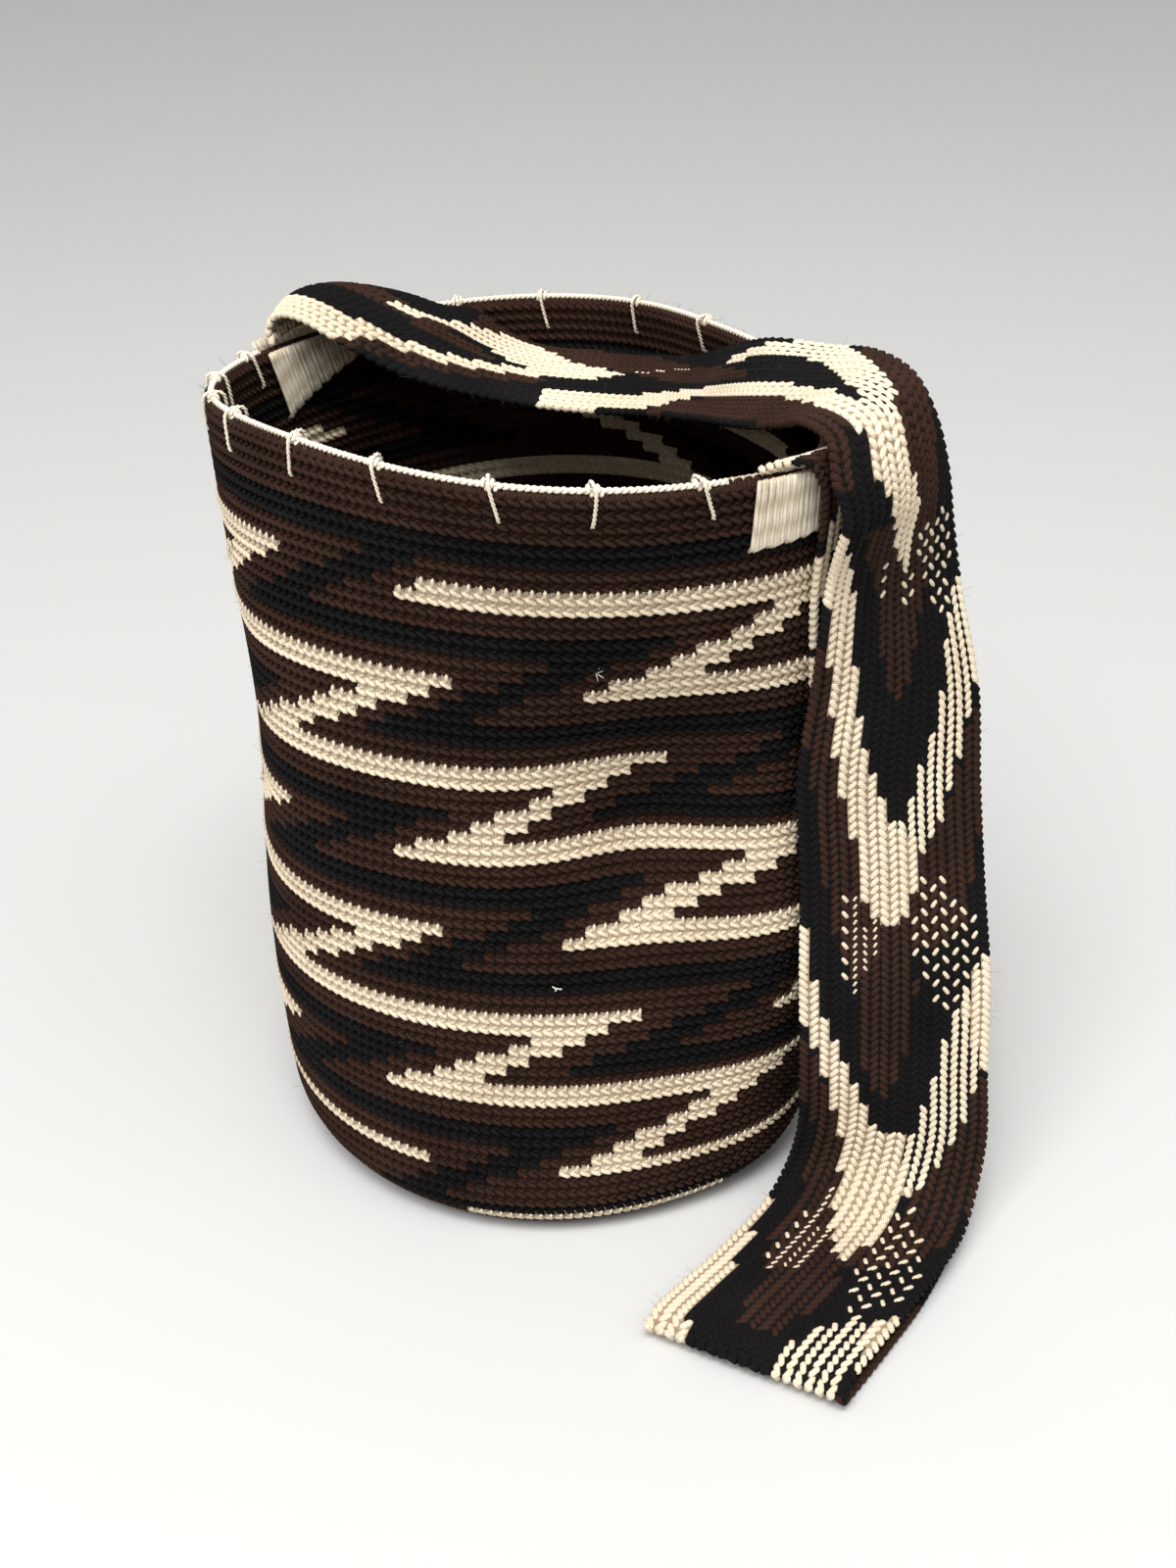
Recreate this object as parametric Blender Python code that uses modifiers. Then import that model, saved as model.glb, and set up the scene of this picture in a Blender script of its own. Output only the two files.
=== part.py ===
"""A crocheted mochila bag with one broad woven shoulder strap.

Metres, +Z up. The origin is the middle of the base, on the surface that the
bag stands on. The strap is sewn to the rim at the back left, crosses the
mouth, hangs down outside at the front right, folds back on the floor and
climbs behind itself to its other end on the rim.
"""
import math

import bmesh
import bpy
from mathutils import Vector

# Driving dimensions of the bag
BODY_HEIGHT = 0.303
BASE_RADIUS = 0.1108
MOUTH_RADIUS = 0.1091
WALL_THICKNESS = 0.004
BASE_THICKNESS = 0.005
CORNER_RADIUS = 0.022
RIM_ROUNDING = 0.0012

# How the soft wall leans and sags: shifts in metres, ovals as shares of the radius
MOUTH_SHIFT_X = -0.0079
MOUTH_SHIFT_Y = -0.0211
BELLY_SHIFT_Y = 0.0086
MOUTH_OVAL = 0.145
MOUTH_OVAL_ANGLE = math.radians(-61.6)
BASE_OVAL = 0.054
BASE_OVAL_ANGLE = math.radians(86.2)
THREE_LOBES = 0.037
THREE_LOBES_ANGLE = math.radians(84.6)
UPRIGHT_SHARE = 0.97
LOBES_AT_BASE = 0.25

# Soft hollows and bulges: depth, angle, share of the height, half width in degrees, half height
HOLLOWS = (
    (-0.0158, 290.7, 0.61, 20.1, 0.050),
    (0.0126, 314.2, 0.42, 17.7, 0.112),
    (-0.0060, 191.4, 0.59, 19.6, 0.066),
)

# The rim is a little higher at the front right and dips where the strap crosses it
RIM_TILT_X = 0.0039
RIM_TILT_Y = -0.0110
RIM_WAVE_X = 0.0012
RIM_WAVE_Y = 0.0033
RIM_DIP = 0.010
RIM_DIP_ANGLE = math.radians(-25)
RIM_DIP_WIDTH = math.radians(24)

# Crochet rounds and stitches, counted from the rim down and from the front to the right
ROUNDS = 69.4
ROUNDS_IN_WALL = 64
ROUNDS_PER_RIDGE = 2
RIDGE_DEPTH = 0.0009
STITCHES = 184
WALL_COLUMNS = 40
CORNER_STEPS = 4
INNER_STEPS = 10

# The pattern: cream bars two rounds deep, each joined to the next one down by a band that
# slants to the left, and a black copy of it all, moved down and to the left
BAR_ROUNDS = (2, 9, 17, 25, 32, 40, 48, 55, 63, 71)
REPEATS = ((-23, 55), (32, 63), (95, 66))
BARS_IN_REPEAT = 3
BAR_DEPTH = 2
SLANT_STEP = 2.35
SLANT_WIDTH = 5
STITCH_LEAN = 0.143
FIRST_CREAM_ROUND = 9
FIRST_BLACK_ROUND = 7
BLACK_BELOW = 4
BLACK_LEFT = 19
BLACK_RING = 5

# Strap
STRAP_WIDTH = 0.070
STRAP_THICKNESS = 0.0034
STRAP_RIBS = 8
STRAP_RIB_HEIGHT = 0.0006
STRAP_STEP = 0.014

# Rim thread and its blanket stitches
THREAD_RADIUS = 0.0012
TICK_RADIUS = 0.0007
TICK_LENGTH = 0.0105
TICK_ANGLES = (63, 85, 101, 151, 169, 188, 206, 231, 251, 270, 284, 298)
THREAD_ARCS = {"rim_thread_back": (-19, 106), "rim_thread_front": (146, 302)}
THREAD_STEP = 4
CLEARANCE = 0.0003

# How far the wall's flat facets cut inside its round outline, where its curve is tightest
FACET_SAG = 1.6 * BASE_RADIUS * (1 - math.cos(math.pi / WALL_COLUMNS))

# Satin stitches that bind the strap's ends to the rim
BINDING_THICKNESS = 0.0012
BINDING_DEPTH = 0.026
BINDING_ABOVE = 0.004
BINDING_RIB = 0.0003
BINDING_STITCHES = 22
LEFT_BINDING = (121, 145)
RIGHT_BINDING = (-54.5, -24)

# Strap route from the left end to the right one. Each station is its near edge's
# angle, share of the wall's radius, distance past the wall in mm, share of the rim's
# height and height past that in mm; then the heading to the far edge, the far edge's
# rise in mm, the strap's spread in mm, and how far its middle bows out and up in mm.
LEFT_END = (
    (142.5, 1, -4, 1, 2.5, 50, -2, 48, 6, 2),
    (142, 1, -3.5, 1, 8, 51, -3, 50, 7, 4),
    (141, 1, -9, 1, 14, 52, -5, 54, 7, 5),
    (140, 0.83, 0, 1, 14.5, 52, -7, 59, 5, 4),
)
ACROSS_MOUTH = (
    (137.5, 0.71, 0, 1, 8, 55, -5, 63, 1, 2),
    (131.5, 0.56, 0, 1, -0.5, 64, 2.5, 64.5, 0, 0),
    (117.5, 0.41, 0, 1, -6, 74, 0, 64.5, 0, 0),
    (88, 0.33, 0, 1, -13.5, 82, -2, 65.5, 0, 0),
    (49, 0.41, 0, 1, -23, 84, -2, 68.5, 0, 0),
    (22, 0.54, 0, 1, -25, 86, -1, 64, 0, 0),
    (-10, 0.59, 0, 1, -11.5, 87, -0.5, 62.5, 0, 0),
    (-34, 0.74, 0, 1, 3, 77.5, 7.5, 61.5, 0, 0),
)
OVER_RIM = (
    (-38, 1, -17, 1, 8.5, 69, 2, 68.5, 2, 1),
    (-41.5, 1, -6, 1, 13.5, 64, -1, 71, 5, 2),
    (-43.5, 1, 5.5, 1, 11, 61, -2, 71, 8, 2),
    (-46, 1, 12, 1, 0.5, 57, -3, 72.5, 8, 0),
    (-45.5, 1, 16, 1, -12.5, 54, -6, 68, 5, 0),
    (-45, 1, 12.5, 1, -26.5, 48, -11, 67, 2, 0),
)
HANGING = (
    (-44.5, 1, 8.5, 0.865, 0, 42, -21, 71.5, 0, 0),
    (-46, 1, 7, 0.745, 0, 29, -20, 72.5, 0, 0),
    (-48, 1, 7, 0.62, 0, 21, -18, 74, 0, 0),
    (-48, 1, 6.5, 0.485, 0, 13, -10, 69.5, 0, 0),
    (-48.5, 1, 7.5, 0.35, 0, 4, -5, 69.5, 0, 0),
    (-49, 1, 14, 0.215, 0, -1, -2, 68.5, 0, 0),
    (-48.5, 1, 15.5, 0.135, 0, -7, -1, 69.5, 0, 0),
)
FOLD_ON_FLOOR = (
    (-49.5, 1, 14.5, 0, 22, -14, 1, 71.5, 0, 0),
    (-55, 1, 17.5, 0, 12, -17, 0, 74.5, 0, 0),
    (-66, 1, 29, 0, 10.4, -17, 0, 76.5, 0, 0),
    (-74, 1, 40, 0, 10, -22, 0, 76.5, 0, 0),
    (-78, 1, 47.5, 0, 9.6, -28, 0, 76, 0, 0),
    (-79.5, 1, 51, 0, 6, -29, 0, 76.5, 0, 0),
    (-78, 1, 46.5, 0, 2.4, -28, 0, 76, 0, 0),
    (-73, 1, 38.5, 0, 2.4, -22, 0, 75.5, 0, 0),
    (-65, 1, 28, 0, 2.4, -17, 0, 74.5, 0, 0),
    (-54, 1, 15.5, 0, 2.8, -15, 0, 71.5, 0, 0),
    (-47, 1, 12, 0, 7, -11, 0, 65, 0, 0),
    (-43.5, 1, 10, 0, 20, -4, -1, 60.5, 0, 0),
)
BEHIND = (
    (-44, 1, 8, 0.14, 0, 7, -2, 58, 0, 0),
    (-44.5, 1, 5.5, 0.23, 0, 19, -4, 58.5, 0, 0),
    (-45, 1, 3.5, 0.35, 0, 31, -5, 60.5, 0, 0),
    (-45, 1, 3.5, 0.49, 0, 42, -8, 64, 0, 0),
    (-45, 1, 4, 0.62, 0, 51, -7, 67, 1, 0),
    (-44.5, 1, 3.5, 0.74, 0, 58, -6, 68, 3, 0),
)
RIGHT_END = (
    (-44.5, 1, 3, 1, -47, 62, -4, 67.5, 3, 0),
    (-44.5, 1, 5.5, 1, -22, 63, -4, 67.5, 4, 0),
    (-45, 1, 7, 1, -5, 63, -4, 69.5, 4, 0),
    (-47, 1, 4.5, 1, 4.5, 62, -4, 69.5, 4, -0.5),
    (-49.5, 1, 0, 1, 5, 60, -7, 68.5, 6, -0.5),
    (-53.5, 1, -3.5, 1, 2.5, 59, -9, 64, 8.5, -0.5),
)
ROUTE = LEFT_END + ACROSS_MOUTH + OVER_RIM + HANGING + FOLD_ON_FLOOR + BEHIND + RIGHT_END
SPREAD_AS_LAID = 0.070

BROWN = (0.042, 0.019, 0.011)
BLACK = (0.010, 0.010, 0.012)
CREAM = (0.66, 0.56, 0.42)


def clear_scene():
    """Remove every object that a new file holds."""
    for thing in list(bpy.data.objects):
        bpy.data.objects.remove(thing, do_unlink=True)


def yarn_material(name, colour):
    """Return a matt yarn material."""
    material = bpy.data.materials.new(name)
    material.use_nodes = True
    shader = material.node_tree.nodes["Principled BSDF"]
    shader.inputs["Base Color"].default_value = (*colour, 1.0)
    shader.inputs["Roughness"].default_value = 0.9
    shader.inputs["Metallic"].default_value = 0.0
    return material


def turn_between(angle, middle):
    """Return the signed turn from middle to angle, in -pi to pi."""
    return (angle - middle + math.pi) % (2 * math.pi) - math.pi


def rim_height(angle):
    """Return the height of the wall's top edge at an angle about the bag."""
    dip = RIM_DIP * math.exp(-(turn_between(angle, RIM_DIP_ANGLE) / RIM_DIP_WIDTH) ** 2)
    return (
        BODY_HEIGHT
        + RIM_TILT_X * math.cos(angle)
        + RIM_TILT_Y * math.sin(angle)
        + RIM_WAVE_X * math.cos(2 * angle)
        + RIM_WAVE_Y * math.sin(2 * angle)
        - dip
    )


def wall_middle(height):
    """Return the middle of the wall's outline at a height."""
    t = min(max(height / (UPRIGHT_SHARE * BODY_HEIGHT), 0.0), 1.1)
    return Vector((MOUTH_SHIFT_X * t**4, MOUTH_SHIFT_Y * t + 4 * BELLY_SHIFT_Y * t * (1 - t), height))


def wall_radius(angle, height):
    """Return the outer wall's distance from the middle at an angle and a height."""
    t = min(max(height / (UPRIGHT_SHARE * BODY_HEIGHT), 0.0), 1.1)
    radius = BASE_RADIUS + (MOUTH_RADIUS - BASE_RADIUS) * t * t
    lobes = THREE_LOBES * (1 - (1 - LOBES_AT_BASE) * (1 - t) ** 3)
    share = (
        1
        + MOUTH_OVAL * t**3 * math.cos(2 * (angle - MOUTH_OVAL_ANGLE))
        + BASE_OVAL * (1 - t) ** 4 * math.cos(2 * (angle - BASE_OVAL_ANGLE))
        + lobes * math.cos(3 * (angle - THREE_LOBES_ANGLE))
    )
    soft = 0.0
    for depth, at, height_share, half_width, half_height in HOLLOWS:
        turn = turn_between(angle, math.radians(at)) / math.radians(half_width)
        lift = (height - height_share * BODY_HEIGHT) / half_height
        soft += depth * math.exp(-turn * turn - lift * lift)
    return radius * share + soft


def wall_point(angle, height, past=0.0, share=1.0):
    """Return the point that lies past the outer wall by a distance along the radius."""
    reach = wall_radius(angle, height) * share + past
    return wall_middle(height) + Vector((reach * math.cos(angle), reach * math.sin(angle), 0.0))


def bar_tip(row, repeat):
    """Return the right tip of a repeat's bar, in stitches from the front."""
    start, width = REPEATS[repeat % len(REPEATS)]
    laps = repeat // len(REPEATS)
    return start + laps * STITCHES + (row - 1) % BARS_IN_REPEAT * width / BARS_IN_REPEAT


def in_zigzag(stitch, round_number):
    """Say whether a stitch of a round lies in the zigzag of bars and slanted bands."""
    for row, first in enumerate(BAR_ROUNDS[:-1]):
        down = round_number - first
        if not 0 <= down < BAR_ROUNDS[row + 1] - first:
            continue
        for repeat in range(len(REPEATS)):
            right = bar_tip(row, repeat) - SLANT_STEP * down
            left = right - SLANT_WIDTH
            if down < BAR_DEPTH and row > 0:
                before = repeat - 1 if (row - 1) % BARS_IN_REPEAT == 0 else repeat
                drop = first - BAR_ROUNDS[row - 1] + down
                left = bar_tip(row - 1, before) - SLANT_STEP * drop - SLANT_WIDTH
            if (right - stitch) % STITCHES <= right - left:
                return True
    return False


def yarn_slot(angle, round_number):
    """Return the material slot of the stitch at an angle: 0 brown, 1 black, 2 cream."""
    stitch = turn_between(angle, math.radians(270)) / (2 * math.pi) * STITCHES
    stitch += STITCH_LEAN * (round_number - FIRST_CREAM_ROUND)
    if round_number >= FIRST_CREAM_ROUND and in_zigzag(stitch, round_number):
        return 2
    black = in_zigzag(stitch + BLACK_LEFT, round_number - BLACK_BELOW)
    if round_number == BLACK_RING or (round_number >= FIRST_BLACK_ROUND and black):
        return 1
    return 0


def bridge(mesh, lower, upper, slots=None, closed=True):
    """Join two rings or rows of vertices with quads and give each quad its slot."""
    count = len(lower)
    for index in range(count if closed else count - 1):
        after = (index + 1) % count
        face = mesh.faces.new((lower[index], lower[after], upper[after], upper[index]))
        face.smooth = True
        if slots:
            face.material_index = slots[index]


def keep_mesh(mesh, name, materials, collection):
    """Turn a finished bmesh into a named object of the collection."""
    bmesh.ops.recalc_face_normals(mesh, faces=mesh.faces)
    data = bpy.data.meshes.new(name)
    mesh.to_mesh(data)
    mesh.free()
    for material in materials:
        data.materials.append(material)
    item = bpy.data.objects.new(name, data)
    collection.objects.link(item)
    return item


def wall_ring(mesh, angles, height_at, inset):
    """Add a ring of vertices round the bag, inset from the outer wall."""
    return [mesh.verts.new(wall_point(angle, height_at(angle), -inset)) for angle in angles]


def outer_rings(mesh, angles):
    """Add the base's edge, the rounded corner and the crochet ridges, from the base up."""
    rings = []
    for step in range(CORNER_STEPS + 1):
        bend = math.radians(90) * step / CORNER_STEPS
        height = CORNER_RADIUS * (1 - math.cos(bend))
        inset = CORNER_RADIUS * (1 - math.sin(bend)) + RIDGE_DEPTH
        rings.append((wall_ring(mesh, angles, lambda _, h=height: h, inset), None))
    for edge in range(ROUNDS_IN_WALL - 1, 0, -1):
        inset = 0.0 if edge % ROUNDS_PER_RIDGE else RIDGE_DEPTH
        share = 1 - edge / ROUNDS
        ring = wall_ring(mesh, angles, lambda angle, k=share: k * rim_height(angle), inset)
        rings.append((ring, edge + 1 - edge % ROUNDS_PER_RIDGE))
    return rings


def inner_rings(mesh, angles):
    """Add the rim's top and the smooth inside, from the rim down to the inner base."""
    rings = []
    for inset, below in ((0.0, RIM_ROUNDING), (RIM_ROUNDING, 0.0),
                         (WALL_THICKNESS - RIM_ROUNDING, 0.0), (WALL_THICKNESS, RIM_ROUNDING)):
        rings.append(wall_ring(mesh, angles, lambda angle, b=below: rim_height(angle) - b, inset))
    bottom = CORNER_RADIUS
    for step in range(1, INNER_STEPS + 1):
        share = 1 - step / INNER_STEPS
        rings.append(wall_ring(
            mesh, angles,
            lambda angle, k=share: bottom + k * (rim_height(angle) - RIM_ROUNDING - bottom),
            WALL_THICKNESS + RIDGE_DEPTH / 2))
    inner_corner = CORNER_RADIUS - BASE_THICKNESS
    for step in range(1, CORNER_STEPS + 1):
        bend = math.radians(90) * step / CORNER_STEPS
        height = BASE_THICKNESS + inner_corner * (1 - math.sin(bend))
        inset = WALL_THICKNESS + RIDGE_DEPTH / 2 + inner_corner * (1 - math.cos(bend))
        rings.append(wall_ring(mesh, angles, lambda _, h=height: h, inset))
    return rings


def build_body(materials, collection):
    """Build the crocheted body: one closed shell with a flat base and an open mouth."""
    mesh = bmesh.new()
    angles = [2 * math.pi * column / WALL_COLUMNS for column in range(WALL_COLUMNS)]
    middles = [angle + math.pi / WALL_COLUMNS for angle in angles]
    outer = outer_rings(mesh, angles)
    inner = inner_rings(mesh, angles)
    for (lower, _), (upper, round_number) in zip(outer, outer[1:]):
        slots = [yarn_slot(angle, round_number) for angle in middles] if round_number else None
        bridge(mesh, lower, upper, slots)
    bridge(mesh, outer[-1][0], inner[0])
    for upper, lower in zip(inner, inner[1:]):
        bridge(mesh, upper, lower)
    for ring, height in ((outer[0][0], 0.0), (inner[-1], BASE_THICKNESS)):
        middle = mesh.verts.new(wall_middle(height))
        for index, vertex in enumerate(ring):
            mesh.faces.new((middle, vertex, ring[(index + 1) % len(ring)]))
    return keep_mesh(mesh, "bag_body", materials, collection)


def station_edges(station):
    """Return a station's near edge, far edge, and how far its middle bows."""
    angle, share, past, rim_share, lift, heading, rise, spread, bow, crown = station
    turn = math.radians(angle)
    height = rim_share * rim_height(turn) + lift / 1000
    near = wall_point(turn, height, past / 1000, share)
    width = STRAP_WIDTH * spread / 1000 / SPREAD_AS_LAID
    level = math.sqrt(max(width * width - (rise / 1000) ** 2, 0.0))
    heading = math.radians(heading)
    far = near + Vector((level * math.cos(heading), level * math.sin(heading), rise / 1000))
    outward = Vector((math.sin(heading), -math.cos(heading), 0.0)) * bow / 1000
    if outward.dot(near - wall_middle(height)) < 0:
        outward.negate()
    return near, far, outward + Vector((0.0, 0.0, crown / 1000))


def smooth_value(values, knots, index, share):
    """Return a value on the smooth curve through a list, between index and the next."""
    last = len(values) - 1
    before = max(index - 1, 0)
    after = min(index + 2, last)
    step = knots[index + 1] - knots[index]
    start_slope = (values[index + 1] - values[before]) / (knots[index + 1] - knots[before])
    end_slope = (values[after] - values[index]) / (knots[after] - knots[index])
    a = 2 * share**3 - 3 * share**2 + 1
    b = share**3 - 2 * share**2 + share
    c = 3 * share**2 - 2 * share**3
    d = share**3 - share**2
    return values[index] * a + start_slope * (step * b) + values[index + 1] * c + end_slope * (step * d)


def strap_sections():
    """Return near edge, far edge and bow along the strap, about one STRAP_STEP apart."""
    stations = [station_edges(station) for station in ROUTE]
    knots = [0.0]
    for (near, far, _), (next_near, next_far, _) in zip(stations, stations[1:]):
        knots.append(knots[-1] + ((next_near + next_far) - (near + far)).length / 2)
    columns = [list(column) for column in zip(*stations)]
    sections = []
    for index in range(len(stations) - 1):
        parts = max(1, round((knots[index + 1] - knots[index]) / STRAP_STEP))
        for part in range(parts):
            sections.append([smooth_value(column, knots, index, part / parts) for column in columns])
    sections.append([column[-1] for column in columns])
    return sections


def build_strap(material, collection):
    """Build the woven strap: a ribbed band given its thickness by Solidify."""
    mesh = bmesh.new()
    rows = []
    across = 2 * STRAP_RIBS
    sections = strap_sections()
    for index, (near, far, bow) in enumerate(sections):
        before = sections[max(index - 1, 0)]
        after = sections[min(index + 1, len(sections) - 1)]
        along = (after[0] + after[1]) - (before[0] + before[1])
        face_normal = along.cross(far - near).normalized()
        row = []
        for column in range(across + 1):
            share = column / across
            rib = STRAP_RIB_HEIGHT / 2 * (1 if column % 2 else -1)
            point = near.lerp(far, share) + bow * (4 * share * (1 - share))
            row.append(mesh.verts.new(point + face_normal * rib))
        rows.append(row)
    for row, next_row in zip(rows, rows[1:]):
        bridge(mesh, row, next_row, closed=False)
    strap = keep_mesh(mesh, "strap", [material], collection)
    thicken(strap, STRAP_THICKNESS)
    return strap


def thicken(item, thickness):
    """Give an open surface its thickness, half to each side."""
    solid = item.modifiers.new("thickness", "SOLIDIFY")
    solid.thickness = thickness
    solid.offset = 0.0


def build_thread(name, points, radius, material, collection):
    """Build one closed thread along a path of points."""
    curve = bpy.data.curves.new(name, "CURVE")
    curve.dimensions = "3D"
    curve.bevel_depth = radius
    curve.bevel_resolution = 1
    curve.use_fill_caps = True
    spline = curve.splines.new("POLY")
    spline.points.add(len(points) - 1)
    for place, point in zip(spline.points, points):
        place.co = (*point, 1.0)
    curve.materials.append(material)
    thread = bpy.data.objects.new(name, curve)
    collection.objects.link(thread)
    return thread


def tick_points(angle):
    """Return the path of a blanket stitch: up the outside, over the thread, down inside."""
    top = rim_height(angle)
    off = CLEARANCE + TICK_RADIUS
    over = top + 2 * CLEARANCE + 2 * THREAD_RADIUS + off
    inside = -WALL_THICKNESS - RIDGE_DEPTH / 2 - FACET_SAG - off
    thread_out = off + THREAD_RADIUS - WALL_THICKNESS / 2
    return [
        wall_point(angle, top - TICK_LENGTH, off),
        wall_point(angle, top - TICK_LENGTH / 2, off),
        wall_point(angle, top + THREAD_RADIUS, off),
        wall_point(angle, over, thread_out),
        wall_point(angle, over, inside - thread_out + off),
        wall_point(angle, top + THREAD_RADIUS, inside),
        wall_point(angle, top - TICK_LENGTH / 2, inside),
        wall_point(angle, top - TICK_LENGTH, inside),
    ]


def build_rim(material, collection):
    """Build the thread along the rim and the blanket stitches that hold it."""
    seat = CLEARANCE + THREAD_RADIUS
    for name, (first, last) in THREAD_ARCS.items():
        steps = round((last - first) / THREAD_STEP)
        turns = [math.radians(first + (last - first) * step / steps) for step in range(steps + 1)]
        path = [wall_point(turn, rim_height(turn) + seat, -WALL_THICKNESS / 2) for turn in turns]
        build_thread(name, path, THREAD_RADIUS, material, collection)
    for number, angle in enumerate(TICK_ANGLES, start=1):
        path = tick_points(math.radians(angle))
        build_thread(f"rim_stitch_{number:02d}", path, TICK_RADIUS, material, collection)


def build_binding_sheet(name, arc, past, above, material, collection):
    """Build one sheet of satin stitches that follows the wall at a distance past it."""
    mesh = bmesh.new()
    rows = []
    for stitch in range(BINDING_STITCHES + 1):
        turn = math.radians(arc[0] + (arc[1] - arc[0]) * stitch / BINDING_STITCHES)
        rib = BINDING_RIB / 2 * (1 if stitch % 2 else -1)
        top = rim_height(turn)
        heights = (top - BINDING_DEPTH, top - BINDING_DEPTH / 2, top + above)
        rows.append([mesh.verts.new(wall_point(turn, height, past + rib)) for height in heights])
    for row, next_row in zip(rows, rows[1:]):
        bridge(mesh, row, next_row, closed=False)
    sheet = keep_mesh(mesh, name, [material], collection)
    thicken(sheet, BINDING_THICKNESS)
    return sheet


def build_bindings(material, collection):
    """Build the satin stitches of both strap ends, outside and inside the wall."""
    seat = CLEARANCE + (BINDING_THICKNESS + BINDING_RIB) / 2
    inside = -WALL_THICKNESS - RIDGE_DEPTH / 2 - FACET_SAG - seat
    for name, arc, past, above in (
        ("strap_binding_left_outer", LEFT_BINDING, seat, BINDING_ABOVE),
        ("strap_binding_left_inner", LEFT_BINDING, inside, 0.0),
        ("strap_binding_right_outer", RIGHT_BINDING, seat, 0.0),
        ("strap_binding_right_inner", RIGHT_BINDING, inside, 0.0),
    ):
        build_binding_sheet(name, arc, past, above, material, collection)


def main():
    """Build every sub-part of the bag in one collection."""
    clear_scene()
    collection = bpy.data.collections.new("mochila_bag")
    bpy.context.scene.collection.children.link(collection)
    yarns = [
        yarn_material("brown yarn", BROWN),
        yarn_material("black yarn", BLACK),
        yarn_material("cream yarn", CREAM),
    ]
    build_body(yarns, collection)
    build_strap(yarn_material("strap yarn", BROWN), collection)
    build_rim(yarn_material("rim thread", CREAM), collection)
    build_bindings(yarn_material("satin thread", CREAM), collection)


main()
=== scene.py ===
"""The looks of a crocheted mochila bag with a woven strap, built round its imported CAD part.

Metres, +Z up, in the CAD part's own frame. The wall is a soft closed shell that carries
every crochet stitch as loops of yarn, the strap is a sheet covered with twisted cords,
and the rim has its blanket stitches and satin bindings.
"""
import logging
import math
from dataclasses import dataclass, field, replace
from enum import Enum
from typing import Iterable, NamedTuple, Sequence

import bpy
import numpy as np
from mathutils import Matrix

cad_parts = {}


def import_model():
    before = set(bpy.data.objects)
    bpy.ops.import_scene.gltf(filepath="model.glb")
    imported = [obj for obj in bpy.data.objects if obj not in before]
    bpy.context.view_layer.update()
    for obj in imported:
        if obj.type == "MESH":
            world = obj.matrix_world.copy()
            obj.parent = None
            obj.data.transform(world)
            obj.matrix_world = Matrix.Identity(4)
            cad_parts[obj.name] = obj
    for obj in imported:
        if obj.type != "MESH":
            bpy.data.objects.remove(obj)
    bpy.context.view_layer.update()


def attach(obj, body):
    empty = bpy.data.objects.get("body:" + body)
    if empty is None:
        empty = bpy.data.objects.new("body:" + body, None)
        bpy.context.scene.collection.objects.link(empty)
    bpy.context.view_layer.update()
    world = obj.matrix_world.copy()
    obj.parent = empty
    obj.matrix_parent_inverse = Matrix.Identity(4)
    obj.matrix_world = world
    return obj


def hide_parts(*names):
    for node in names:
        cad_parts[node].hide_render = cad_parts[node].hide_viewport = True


Array = np.ndarray
Colour = tuple[float, float, float]

LOG = logging.getLogger("mochila")
FULL_TURN = 2 * math.pi
FRONT = math.radians(270)
GOLDEN = 0.618034
STITCHES = 184
CLEARANCE = 0.0003
GRAIN_RINGS = 3
PLIES = 2
PLY_REACH, PLY_RADIUS = 0.48, 0.56
STRAND_IN_UV = 0.004


class Yarn(Enum):
    """The three yarns, in the order of the body's material slots."""

    BROWN = 0
    BLACK = 1
    CREAM = 2


def unit(vectors: Array) -> Array:
    """Return vectors scaled to length one.

    Args:
        vectors: One vector, or an array with one in each row.

    Returns:
        The same directions, each one long.
    """
    return vectors / np.linalg.norm(vectors, axis=-1, keepdims=True)


def length_along(path: Array) -> Array:
    """Return how far along a path each of its points lies."""
    return np.concatenate([[0.0], np.cumsum(np.linalg.norm(np.diff(path, axis=0), axis=1))])


def face_uvs(*corners: tuple[Array, Array]) -> Array:
    """Return the UVs of some faces.

    Args:
        corners: The U and the V of each face's first corner, then of its second one, and so on.

    Returns:
        One row for each corner of each face.
    """
    placed = [np.stack(np.broadcast_arrays(u, v), -1) for u, v in corners]
    return np.stack(placed, -2).reshape(-1, 2).astype(float)


def turn_between(angle: Array, middle: float) -> Array:
    """Return the signed turn from middle to angle, in -pi to pi."""
    return (angle - middle + math.pi) % FULL_TURN - math.pi


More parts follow.
